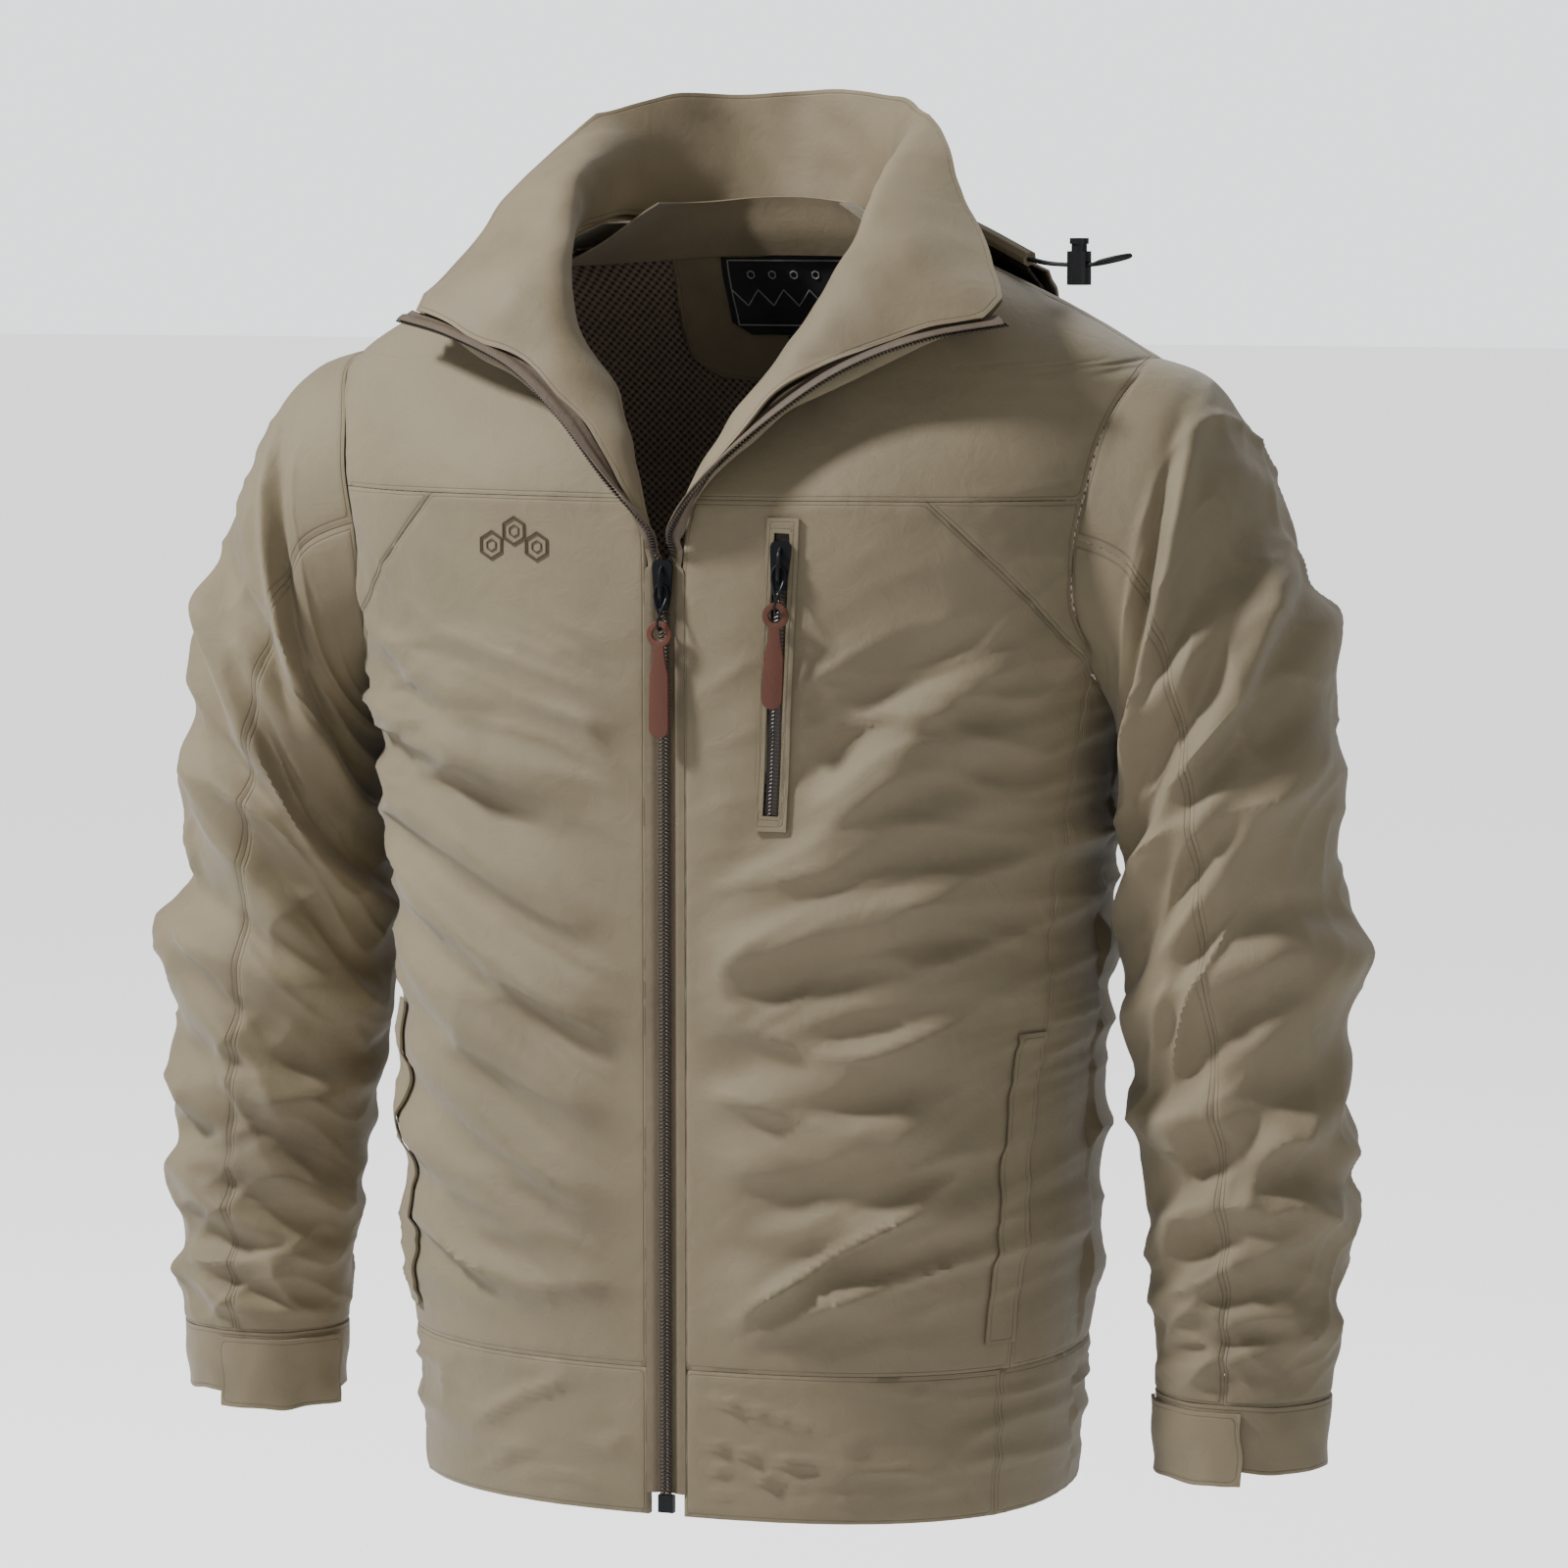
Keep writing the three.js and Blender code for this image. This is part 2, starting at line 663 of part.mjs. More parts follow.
const RING_OUTER = 7;
const RING_HOLE = 3.8;
function leatherPull(crownTop, length) {
  const middle = -crownTop - PULL_FORWARD + 3;
  const ringHeight = -EYE_DROP - (RING_OUTER + RING_HOLE) / 2;
  const ring = new THREE.Shape().absarc(0, 0, RING_OUTER, 0, Math.PI * 2);
  ring.holes.push(new THREE.Path().absarc(0, 0, RING_HOLE, 0, Math.PI * 2));
  const body = new THREE.Shape();
  const end = -length + RING_OUTER + 5.5;
  body.moveTo(-2.6, -RING_HOLE - 1.5);
  body.lineTo(2.6, -RING_HOLE - 1.5);
  body.quadraticCurveTo(2.8, -12, 5.2, -22);
  body.lineTo(5.5, end);
  body.absarc(0, end, 5.5, 0, -Math.PI, true);
  body.lineTo(-5.2, -22);
  body.quadraticCurveTo(-2.8, -12, -2.6, -RING_HOLE - 1.5);
  const flat = join(plate(ring, PULL_THICKNESS, 12), plate(body, PULL_THICKNESS, 6));
  return flat.rotateX(Math.PI / 2).translate(0, middle + PULL_THICKNESS / 2, ringHeight);
}

// Moves local parts onto the front at (x, height), upright along the zip and facing outward.
function onZip(geometry, x, height, lean) {
  const at = onFront(x, height);
  const outward = normalOf(torso, angleAtX(x, height), height);
  const up = new THREE.Vector3(lean, 0, 1);
  up.addScaledVector(outward, -up.dot(outward)).normalize();
  const back = outward.clone().negate();
  const right = new THREE.Vector3().crossVectors(back, up);
  const basis = new THREE.Matrix4().makeBasis(right, back, up).setPosition(at);
  return geometry.applyMatrix4(basis);
}

const COIL_FRONT = 0.7;
const MAIN_SLIDER_HEIGHT = 500;
const MAIN_PULL_LENGTH = 62;
function makeZip() {
  const coilStart = 1 - COIL_WIDTH / ZIP_EDGE;
  const tapeStart = (u) => mix(0.03, 0.42, THREE.MathUtils.clamp(u - STRAIGHT_HEIGHTS.length, 0, 1));
  const tapeSpot = (s, t) => [ZIP_LAST * t, mix(tapeStart(ZIP_LAST * t), coilStart - 0.03, s)];
  const coilSpot = (s, t) => [ZIP_LAST * t, mix(coilStart, 1, s)];
  addPair("zip_tape", cloth(zipSurface, tapeSpot, 1, 44, GAP, GAP + TAPE_THICKNESS), COIL);
  addPair("zip_coil", cloth(zipSurface, coilSpot, 1, 44, -COIL_FRONT, COIL_THICKNESS - COIL_FRONT), COIL);
  const footY = onFront(0, ZIP_FOOT / 2).y;
  addPiece("zip_box", box(8.6, 4, 9.5, 0, footY + 1, 6.4), BLACK);
  const { front, crown, foot, crownTop } = sliderBody(COIL_FRONT + 0.4, 1.6, 4, 2.6);
  const back = box(9, 1.6, 20, 0, 2.9, 0);
  const place = (geometry) => onZip(geometry, 0, MAIN_SLIDER_HEIGHT, 0);
  addPiece("zip_slider", place(join(front, crown, foot, back)), GUNMETAL);
  addPiece("zip_puller", place(pullerBody(crownTop)), GUNMETAL);
  addPiece("zip_leather_pull", place(leatherPull(crownTop, MAIN_PULL_LENGTH)), LEATHER);
}

// ---- chest pocket ----

const CHAIN_WIDTH = 7;
const CHEST_PULL_LENGTH = 56;
const CHEST_SLIDER_HEIGHT = 511;

const chestLength = Math.hypot(CHEST_TOP[0] - CHEST_BOTTOM[0], CHEST_TOP[1] - CHEST_BOTTOM[1]);
const chestX = (height) => {
  return mix(CHEST_BOTTOM[0], CHEST_TOP[0], (height - CHEST_BOTTOM[1]) / (CHEST_TOP[1] - CHEST_BOTTOM[1]));
};

// A straight bar along the chest zip, used to cut the slot through the cloth.
function chestBar(width, trim) {
  const middleX = (CHEST_TOP[0] + CHEST_BOTTOM[0]) / 2;
  const middleZ = (CHEST_TOP[1] + CHEST_BOTTOM[1]) / 2;
  const tilt = Math.atan2(CHEST_TOP[0] - CHEST_BOTTOM[0], CHEST_TOP[1] - CHEST_BOTTOM[1]);
  const bar = new THREE.BoxGeometry(width, 60, chestLength - trim);
  return bar.rotateY(tilt).translate(middleX, -130, middleZ);
}

function chestStrip(width, trim, cols, near, far) {
  const spot = (s, t) => {
    const height = mix(CHEST_BOTTOM[1] + trim, CHEST_TOP[1] - trim, t);
    return [angleAtX(chestX(height) + (s - 0.5) * width, height), height];
  };
  return cloth(torso, spot, cols, 12, near, far);
}

function frontPatch(fromX, toX, fromZ, toZ, near, far) {
  const spot = (s, t) => {
    const height = mix(fromZ, toZ, t);
    return [angleAtX(mix(fromX, toX, s), height), height];
  };
  return cloth(torso, spot, 8, 6, near, far);
}

const BAG_NEAR = CLOTH + 4 * GAP;
const BAG_FAR = LINING_DEPTH - 3 * GAP;
function makeChestPocket() {
  const welt = chestStrip(WELT_WIDTH, 0, 4, -GAP - WELT_THICKNESS, -GAP);
  addPiece("chest_welt", cut(welt, chestBar(CHEST_SLOT + 0.6, 2 * CHEST_SLOT)), BRIM);
  addPiece("chest_zip_chain", chestStrip(CHAIN_WIDTH, CHEST_SLOT + 0.5, 2, -GAP, CLOTH - GAP), COIL);
  const plateBack = GAP + WELT_THICKNESS + GAP + 0.15;
  const { front, crown, foot, crownTop } = sliderBody(plateBack, 5, 12, -GAP - 0.35);
  const lean = (CHEST_TOP[0] - CHEST_BOTTOM[0]) / (CHEST_TOP[1] - CHEST_BOTTOM[1]);
  const x = chestX(CHEST_SLIDER_HEIGHT);
  const place = (geometry) => onZip(geometry, x, CHEST_SLIDER_HEIGHT, lean);
  addPiece("chest_slider", place(join(front, crown, foot)), GUNMETAL);
  addPiece("chest_puller", place(pullerBody(crownTop)), GUNMETAL);
  addPiece("chest_leather_pull", place(leatherPull(crownTop, CHEST_PULL_LENGTH)), LEATHER);
  addPiece("chest_pocket_bag", frontPatch(24, 138, 330, 538, BAG_NEAR, BAG_FAR), LINING);
}

// ---- hand pockets ----

const HAND_WELT_WIDTH = 18;
function makeHandPockets() {
  const weltSpot = (s, t) => {
    const height = mix(95, 262, t);
    const edge = slantedSeam(height) - 3 * seam(slantedSeam(height), height);
    const width = (HAND_WELT_WIDTH / HALF_GAP) * seam(edge, height);
    return [mix(edge - width, edge, s), height];
  };
  addPair("hand_welt", cloth(torso, weltSpot, 2, 10, -GAP - WELT_THICKNESS, -GAP), BRIM);
  addPair("hand_pocket_bag", frontPatch(40, 158, 92, 255, BAG_NEAR, BAG_FAR), LINING);
}

// ---- lining ----

const LINING_HEIGHTS = [66, 140, 220, 300, 370, 432, 440, 454, 478, 510, 540, 570, 592, 604, 621, 636, 660, 680];
const LINING_FRONT_LAST = 13;
const LINING_INSET = 14;
function makeLining() {
  const near = LINING_DEPTH;
  const far = LINING_DEPTH + LINING_CLOTH;
  const armholeBottom = ARMHOLE_HEIGHT - ARMHOLE_HALF_HEIGHT;
  const outside = (hole, height) => {
    return height > armholeBottom && height < armholeTop ? hole(height) : degrees(90);
  };
  const frontSpot = (s, t) => {
    const height = LINING_HEIGHTS[Math.round(t * LINING_FRONT_LAST)];
    const inner = innerEdge(height) + (LINING_INSET / HALF_GAP) * seam(innerEdge(height), height);
    return [mix(inner, outside(armholeFront, height) - degrees(1.2), s), height];
  };
  const backSpot = (s, t) => {
    const height = LINING_HEIGHTS[Math.round(t * (LINING_HEIGHTS.length - 1))];
    const start = outside(armholeBack, height) + degrees(1.2);
    return [mix(start, 2 * Math.PI - start, s), height];
  };
  addPair("lining_front", cloth(torso, frontSpot, 6, LINING_FRONT_LAST, near, far), LINING);
  addPiece("lining_back", cloth(torso, backSpot, 22, LINING_HEIGHTS.length - 1, near, far), LINING);
}

// ---- neck facing and labels ----

function backPatch(halfWidth, fromZ, toZ, corner, cols, near, far) {
  const spot = (s, t) => {
    const height = mix(fromZ, toZ, t);
    const round = Math.max(0, 1 - t / corner) ** 2;
    const angle = Math.PI - angleAtX(halfWidth * (1 - 0.25 * round), height);
    return [mix(angle, 2 * Math.PI - angle, s), height];
  };
  return cloth(torso, spot, cols, 6, near, far);
}

const FACING_NEAR = LINING_DEPTH + LINING_CLOTH + 3 * GAP;
const FACING_CLOTH = 1.2;
const LABEL_CLOTH = 0.8;
function makeLabels() {
  const labelNear = FACING_NEAR + FACING_CLOTH + 2 * GAP;
  addPiece("neck_facing", backPatch(66, 604, 686, 0.3, 12, FACING_NEAR, FACING_NEAR + FACING_CLOTH), BRIM);
  addPiece("neck_label", backPatch(38, 632, 676, 0.01, 8, labelNear, labelNear + LABEL_CLOTH), BLACK);
  addPiece("size_tab", backPatch(9, 619, 631, 0.01, 2, labelNear, labelNear + LABEL_CLOTH), BLACK);
}

// ---- stowed hood ----

// Left half of each line from the back centre: where the hood meets the yoke low down, its front rim
// behind the collar and its rear rim.
const hoodBottom = [point(0, 133, 525), point(50, 130, 535), point(100, 116, 562), point(150, 58, 622)];
const hoodFrontRim = [point(0, 94, 700), point(55, 78, 697), point(107, 40, 684), point(160, 8, 663)];
const hoodRearRim = [point(0, 126, 696), point(60, 108, 692), point(114, 66, 681), point(164, 24, 661)];
const HOOD_BULGE = 26;
const HOOD_REST = 2.5;
const HOOD_LAYER = 2.2;

function halfCurve(points) {
  const full = points.slice(1).reverse().map((p) => point(-p.x, p.y, p.z)).concat(points);
  const curve = new THREE.CatmullRomCurve3(full);
  return (u) => curve.getPoint((1 - u) / 2);
}

// Keeps a point a given distance above and behind the back of the torso.
function clearOfYoke(p, rest) {
  const height = p.z - rest;
  if (height < NECK_SEAM) {
    const [width, , back] = torsoSizes.evaluate(height);
    const share = Math.min(1, Math.abs(p.x / width)) ** TORSO_SQUARENESS;
    p.y = Math.max(p.y, back * (1 - share) ** (1 / TORSO_SQUARENESS) + rest);
  }
  return p;
}

function hoodSurface(rim, bulge, rest) {
  const low = halfCurve(hoodBottom);
  const high = halfCurve(rim);
  return (u, v) => {
    const p = low(THREE.MathUtils.clamp(u, -1, 1)).lerp(high(THREE.MathUtils.clamp(u, -1, 1)), v);
    p.y += bulge * Math.sin(Math.PI * v) * (1 - u * u);
    return clearOfYoke(p, rest);
  };
}

const HOOD_ROWS = 7;
const TUNNEL_RADIUS = 4.5;
function makeHood() {
  const whole = (low, high) => (s, t) => [mix(-0.97, 0.97, s), mix(low, high, t)];
  const base = hoodSurface(hoodFrontRim, 0, HOOD_REST);
  const wall = hoodSurface(hoodRearRim, HOOD_BULGE, HOOD_REST + HOOD_LAYER);
  addPiece("hood_base", cloth(base, whole(0.01, 1), 20, HOOD_ROWS, 0, CLOTH), BRIM);
  addPiece("hood_shell", cloth(wall, whole(0.01, 1), 20, HOOD_ROWS, -CLOTH - GAP, -GAP), BRIM);
  addPiece("hood_lining", cloth(wall, whole(mix(0.01, 1, 1 / HOOD_ROWS), 1), 20, HOOD_ROWS - 1, 0, 1), LINING_DARK);
  const rim = halfCurve(hoodFrontRim);
  const points = [];
  for (let i = 0; i <= 10; i += 1) {
    const p = rim(mix(-0.97, 0.97, i / 10));
    points.push(p.add(point(0, 0, TUNNEL_RADIUS + GAP)));
  }
  addPiece("hood_tunnel", tube(points, TUNNEL_RADIUS, 30), BRIM);
}

// ---- cord lock ----

const LOCK_AT = point(187, -2, 667);
const LOCK_RADIUS = 6.5;
const LOCK_BORE = 4.5;
const LOCK_TOP = 7;
const LOCK_BOTTOM = -11;
const BORE_BOTTOM = -9;
const BUTTON_TRAVEL = 3.5;
const CORD_RADIUS = 1.1;
const CORD_SPREAD = 1.4;

// The drawcord, from the left end of the tunnel through the lock, round its loop and back.
const CORD_POINTS = [
  [156.4, 11.7, 669.4], [166.5, 6.4, 667.6], [177.6, 1.8, 666.8], [187.3, -0.6, 667], [196.1, -2.8, 667],
  [206.2, 0.4, 669], [214.6, -2.7, 671], [217.1, -9.5, 672], [211.7, -14.4, 671], [202.8, -13.1, 669],
  [195.4, -5.5, 667], [186.7, -3.4, 667], [177, -0.9, 666.8], [165.4, 3.5, 667.6], [155.1, 9.4, 669.4],
];

function lockPlace(geometry) {
  return geometry.rotateZ(degrees(-14)).translate(LOCK_AT.x, LOCK_AT.y, LOCK_AT.z);
}

function barrel(radius, low, high, sides = 18) {
  const solid = new THREE.CylinderGeometry(radius, radius, high - low, sides);
  return solid.rotateX(Math.PI / 2).translate(0, 0, (low + high) / 2);
}

function makeCordLock() {
  const slotWidth = 2 * (CORD_SPREAD + CORD_RADIUS + GAP);
  const slotHeight = 2 * (CORD_RADIUS + GAP);
  const slot = box(3 * LOCK_RADIUS, slotWidth, slotHeight, 0, 0, 0);
  const bore = barrel(LOCK_BORE, BORE_BOTTOM, LOCK_TOP + 1);
  addPiece("cord_lock_body", lockPlace(cut(barrel(LOCK_RADIUS, LOCK_BOTTOM, LOCK_TOP), bore, slot)), BLACK);

  const stemLow = -CORD_RADIUS - GAP - 1.2;
  const capLow = LOCK_TOP + BUTTON_TRAVEL + GAP;
  const stem = barrel(LOCK_BORE - GAP, stemLow, capLow + 1);
  const cap = barrel(LOCK_BORE + 0.6, capLow, capLow + 3.2);
  const window = box(3 * LOCK_RADIUS, slotWidth, slotHeight + BUTTON_TRAVEL, 0, 0, BUTTON_TRAVEL / 2);
  addPiece("cord_lock_button", lockPlace(cut(join(stem, cap), window)), BLACK);

  const turns = 3;
  const wire = 0.45;
  const low = BORE_BOTTOM + GAP + wire;
  const high = stemLow - GAP - wire;
  const helix = [];
  for (let i = 0; i <= turns * 10; i += 1) {
    const angle = (i / 10) * Math.PI * 2;
    helix.push(point(3.2 * Math.cos(angle), 3.2 * Math.sin(angle), mix(low, high, i / (turns * 10))));
  }
  addPiece("cord_lock_spring", lockPlace(tube(helix, wire, turns * 10)), STEEL);

  const loop = CORD_POINTS.map(([x, y, z]) => point(x, y, z));
  addPiece("drawcord", tube(loop, CORD_RADIUS, 30), BLACK);
}

makeBody();
makeHem();
makeSleeves();
makeCollar();
makeZip();
makeChestPocket();
makeHandPockets();
makeLining();
makeLabels();
makeHood();
makeCordLock();

group.position.z = -NECK_SEAM;

export default group;
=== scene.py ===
import math

import bmesh
import bpy
import numpy as np
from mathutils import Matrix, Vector
from mathutils.bvhtree import BVHTree
from mathutils.kdtree import KDTree


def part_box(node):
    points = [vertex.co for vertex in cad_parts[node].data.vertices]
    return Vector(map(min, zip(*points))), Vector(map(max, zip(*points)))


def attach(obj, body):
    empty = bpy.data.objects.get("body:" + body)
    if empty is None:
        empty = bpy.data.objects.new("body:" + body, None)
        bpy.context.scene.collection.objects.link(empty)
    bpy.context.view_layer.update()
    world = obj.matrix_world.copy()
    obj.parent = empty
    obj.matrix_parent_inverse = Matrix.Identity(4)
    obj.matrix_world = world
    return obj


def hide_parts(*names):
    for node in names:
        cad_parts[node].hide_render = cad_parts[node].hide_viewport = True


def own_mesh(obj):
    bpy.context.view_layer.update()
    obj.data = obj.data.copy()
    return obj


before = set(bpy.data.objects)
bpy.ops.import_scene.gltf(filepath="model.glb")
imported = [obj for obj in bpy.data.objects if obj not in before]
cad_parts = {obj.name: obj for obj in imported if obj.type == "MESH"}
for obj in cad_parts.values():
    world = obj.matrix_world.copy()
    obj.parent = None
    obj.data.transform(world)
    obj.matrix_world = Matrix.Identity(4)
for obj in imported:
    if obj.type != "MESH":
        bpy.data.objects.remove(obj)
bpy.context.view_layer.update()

# %% [markdown]
# The jacket hangs from the wearer's neck, so the origin is the middle of the neck seam and the hem is
# 690 mm below it. All the cloth shapes are worked out in millimetres above the hem, because that is
# how a garment is measured, and moved down into the frame when each mesh is made.

# %% Sizes shared by every cloth piece
NECK_HEIGHT = 690
CLOTH = 1.6
HEM_TOP = 80
ZIP_OPEN = 523
CHEST_LOW, CHEST_HIGH = (59, 371), (66, 536)
CHEST_LEAN = (CHEST_HIGH[0] - CHEST_LOW[0]) / (CHEST_HIGH[1] - CHEST_LOW[1])
CHEST_SLOT = 5
SQUARENESS = 2.5
SLEEVE_LENGTH = 560
NO_SEAM_NEAR = 0.01

# height, half width, half depth in front, half depth behind
STATIONS = np.array([
    [0, 183, 134, 127], [80, 189, 134, 130], [200, 193, 134, 132], [330, 198, 134, 134],
    [432, 210, 134, 136], [500, 224, 134, 134], [545, 233, 133, 129], [560, 236, 127, 126],
    [580, 238, 113, 119], [596, 238, 101, 112], [608, 236, 93, 106], [618, 230, 88, 101],
    [629, 213, 84, 95], [641, 190, 80, 89], [654, 162, 75, 82], [667, 133, 69, 76],
    [679, 107, 63, 70], [690, 86, 58, 64], [720, 30, 46, 50],
], float)

# inner x, inner height, outer x, outer height, half depth, middle y
RINGS = np.array([
    [212, 432, 231, 618, 74, 0], [217, 414, 262, 609, 75, 0], [219, 384, 291, 566, 77, 0],
    [218, 345, 317, 500, 75, 0], [217, 300, 331, 418, 69, -2], [219, 250, 338, 333, 63, -5],
    [227, 200, 342, 254, 57, -9], [234, 150, 344, 180, 51, -13], [238, 105, 341, 120, 46, -17],
    [240, 66, 336, 66, 42, -20],
], float)


def smooth_table(positions, values, step, spread):
    """Even table of the values, softened so that the curve has no corners."""
    run = 8 * spread
    first = values[0] + (values[0] - values[1]) * run / (positions[1] - positions[0])
    last = values[-1] + (values[-1] - values[-2]) * run / (positions[-1] - positions[-2])
    positions = np.concatenate([[positions[0] - run], positions, [positions[-1] + run]])
    values = np.vstack([first, values, last])
    grid = np.arange(positions[0], positions[-1] + step / 2, step)
    table = np.stack([np.interp(grid, positions, column) for column in values.T], 1)
    reach = np.arange(-4 * spread, 4 * spread + step / 2, step)
    kernel = np.exp(-((reach / spread) ** 2) / 2)
    kernel /= kernel.sum()
    soft = np.stack([np.convolve(column, kernel, "valid") for column in table.T], 1)
    cut = len(kernel) // 2
    return grid[cut:len(grid) - cut], soft


STATION_GRID, STATION_SIZES = smooth_table(STATIONS[:, 0], STATIONS[:, 1:], 1.0, 7.0)
RING_GRID, RING_SIZES = smooth_table(np.arange(10.0), RINGS, 0.05, 0.35)


def look_up(grid, table, where):
    return [np.interp(where, grid, column) for column in table.T]


# %% [markdown]
# Cloth in use is never smooth. Broad folds are pulled from the armpits towards the zip, and the sleeves
# are crushed into many short folds across the arm. They are made as a height over each surface: a smooth
# random field, stretched along the fold and turned into ridges, the same for every panel that shares the
# surface, so that folds run on across the seams.


# %% Random field
def lattice(x, y, seed):
    """Smooth random field, about -1 to 1, one feature per unit."""
    xi, yi = np.floor(x), np.floor(y)
    xf, yf = x - xi, y - yi

    def corner(dx, dy):
        h = np.sin((xi + dx) * 127.1 + (yi + dy) * 311.7 + seed * 74.7) * 43758.5453
        angle = 2 * np.pi * (h - np.floor(h))
        return np.cos(angle) * (xf - dx) + np.sin(angle) * (yf - dy)

    u = xf**3 * (xf * (xf * 6 - 15) + 10)
    v = yf**3 * (yf * (yf * 6 - 15) + 10)
    bottom = corner(0, 0) * (1 - u) + corner(1, 0) * u
    top = corner(0, 1) * (1 - u) + corner(1, 1) * u
    return 1.6 * (bottom * (1 - v) + top * v)


def ridges(along, across, seed):
    """Crests with wider hollows between them, 0 to 1."""
    bend = lattice(along * 0.9, across * 0.35, seed + 5) * 0.9
    first = lattice(along, across + bend, seed)
    second = lattice(along * 1.3 + 7, across * 1.7 + bend, seed + 2)
    crest = np.clip(1 - np.abs(first) * 2.4, 0, 1) ** 1.6
    small = np.clip(1 - np.abs(second) * 2.6, 0, 1) ** 1.8
    return crest * 0.75 + small * 0.3 * (0.4 + crest)


def ramp(value, low_end, high_end):
    t = np.clip((value - low_end) / (high_end - low_end), 0, 1)
    return t * t * (3 - 2 * t)


def stroke(px, pz, x0, z0, x1, z1, width, height):
    """One fold: a crest along a line, with a hollow below it, fading at both ends."""
    dx, dz = x1 - x0, z1 - z0
    length = math.hypot(dx, dz)
    t = ((px - x0) * dx + (pz - z0) * dz) / length**2
    d = ((px - x0) * dz - (pz - z0) * dx) / length / width
    fade = ramp(t, -0.15, 0.25) * (1 - ramp(t, 0.7, 1.15))
    return height * fade * (np.exp(-d * d) - 0.6 * np.exp(-((d - 1.5) ** 2)))


# %% [markdown]
# The torso hangs from the shoulders, so its folds lean: they start under the arms and run down to the
# zip. The longest ones are listed one by one, as a tailor would chalk them, and the random ridges fill in
# between. They fade out at the zip, at the chest pocket and above the yoke, where the cloth is stiffer.

# %% Torso folds
# x and height of each end, half width and height in mm; x is positive on the wearer's left
FRONT_FOLDS = [
    (188, 470, 95, 400, 13, 8), (192, 430, 60, 372, 14, 8), (185, 395, 30, 330, 15, 7),
    (170, 345, 20, 300, 16, 7), (180, 300, 45, 262, 15, 7), (165, 265, 20, 215, 17, 6),
    (150, 215, 25, 190, 15, 5), (170, 170, 40, 150, 14, 5), (120, 120, 25, 132, 13, 4),
    (-185, 470, -110, 425, 12, 7), (-190, 425, -55, 385, 14, 8), (-186, 385, -40, 318, 15, 8),
    (-182, 345, -28, 262, 15, 8), (-180, 300, -25, 205, 16, 8), (-178, 250, -25, 160, 15, 7),
    (-175, 205, -35, 125, 15, 6), (-170, 160, -60, 105, 13, 5), (-160, 118, -90, 98, 10, 4),
]


def torso_folds(x, y, z):
    """Height of the folds over the torso."""
    side = np.abs(x)
    front = y < 0
    lean = np.where(x > 0, 0.5, 0.62) - 0.25 * ramp(z, 150, 420)
    slant = np.where(front, z - lean * side, z + 0.2 * x - side**2 / 700)
    around = np.where(front, side, x)
    left = (x > 0) & front
    wide = ridges(around / 170 + left * 3.3, slant / 60, 3) * 10
    fine = ridges(around / 100 + left * 5.1, slant / 33 + 0.1 * z / 24, 11) * 2.6
    total = (wide + fine) * np.where(front, 0.75, 0.85)
    placed = sum(stroke(x, z, *fold) for fold in FRONT_FOLDS)
    total = total + 1.4 * placed * ramp(-y, -10, 60)
    below = ramp(z, HEM_TOP, HEM_TOP + 45) * (1 - 0.92 * ramp(z, 430, 500))
    zip_side = np.where(front, ramp(side, 12, 50), 1.0)
    pocket = np.exp(-(((x - 62) / 24) ** 2)) * ramp(z, 345, 375) * front
    body = total * below * zip_side * (1 - 0.9 * pocket)
    chest = ramp(z, 470, 560) * (1 - ramp(z, 590, 660)) * 2.2 * lattice(x / 75, z / 60, 31)
    armpit = np.exp(-((z - 440) ** 2) / 60**2) * ramp(side, 120, 190) * 6 * ridges(side / 60, slant / 34, 17)
    hem = (1 - ramp(z, HEM_TOP - 14, HEM_TOP - 2)) * ramp(z, 6, 20)
    gathers = hem * (4 * ridges(around / 95 + left * 2, (z + 0.12 * around) / 20, 23) - 1)
    calm = np.where(front, ramp(side, 12, 34), 1.0)
    return body + (chest * (1 - pocket) + armpit + gathers) * calm


# %% [markdown]
# A sleeve is longer than the arm inside it, so it crushes into short folds that run round the arm. Each
# of the deep ones has its own place, slope and width, and a finer random layer lies between them.

# %% Sleeve folds
# angle of the crest's middle in degrees, distance down the sleeve, slope, length round the arm,
# half width and height in mm
SLEEVE_FOLDS = [
    (70, 95, 0.5, 70, 13, 7), (110, 130, 0.7, 80, 14, 8), (60, 165, -0.4, 75, 15, 9),
    (95, 205, 0.35, 95, 15, 9), (45, 245, -0.3, 80, 14, 9), (100, 275, 0.4, 90, 15, 9),
    (75, 315, -0.25, 95, 14, 9), (50, 350, 0.3, 85, 14, 8), (105, 375, -0.35, 80, 13, 8),
    (70, 410, 0.3, 85, 13, 8), (45, 440, -0.25, 70, 12, 7), (90, 465, 0.25, 80, 12, 7),
    (70, 500, -0.2, 85, 11, 6), (95, 528, 0.15, 80, 9, 5), (-60, 180, 0.4, 80, 14, 8),
    (-90, 240, -0.3, 80, 15, 8), (-60, 300, 0.3, 85, 14, 8), (-95, 360, -0.3, 80, 14, 8),
    (-70, 430, 0.3, 80, 12, 7), (-80, 490, -0.2, 80, 11, 6), (0, 210, 0.3, 75, 13, 7),
    (5, 330, -0.35, 75, 13, 7), (0, 420, 0.3, 70, 12, 6), (170, 230, 0.3, 70, 12, 5),
    (190, 340, -0.3, 70, 12, 5), (180, 450, 0.3, 70, 11, 5),
]


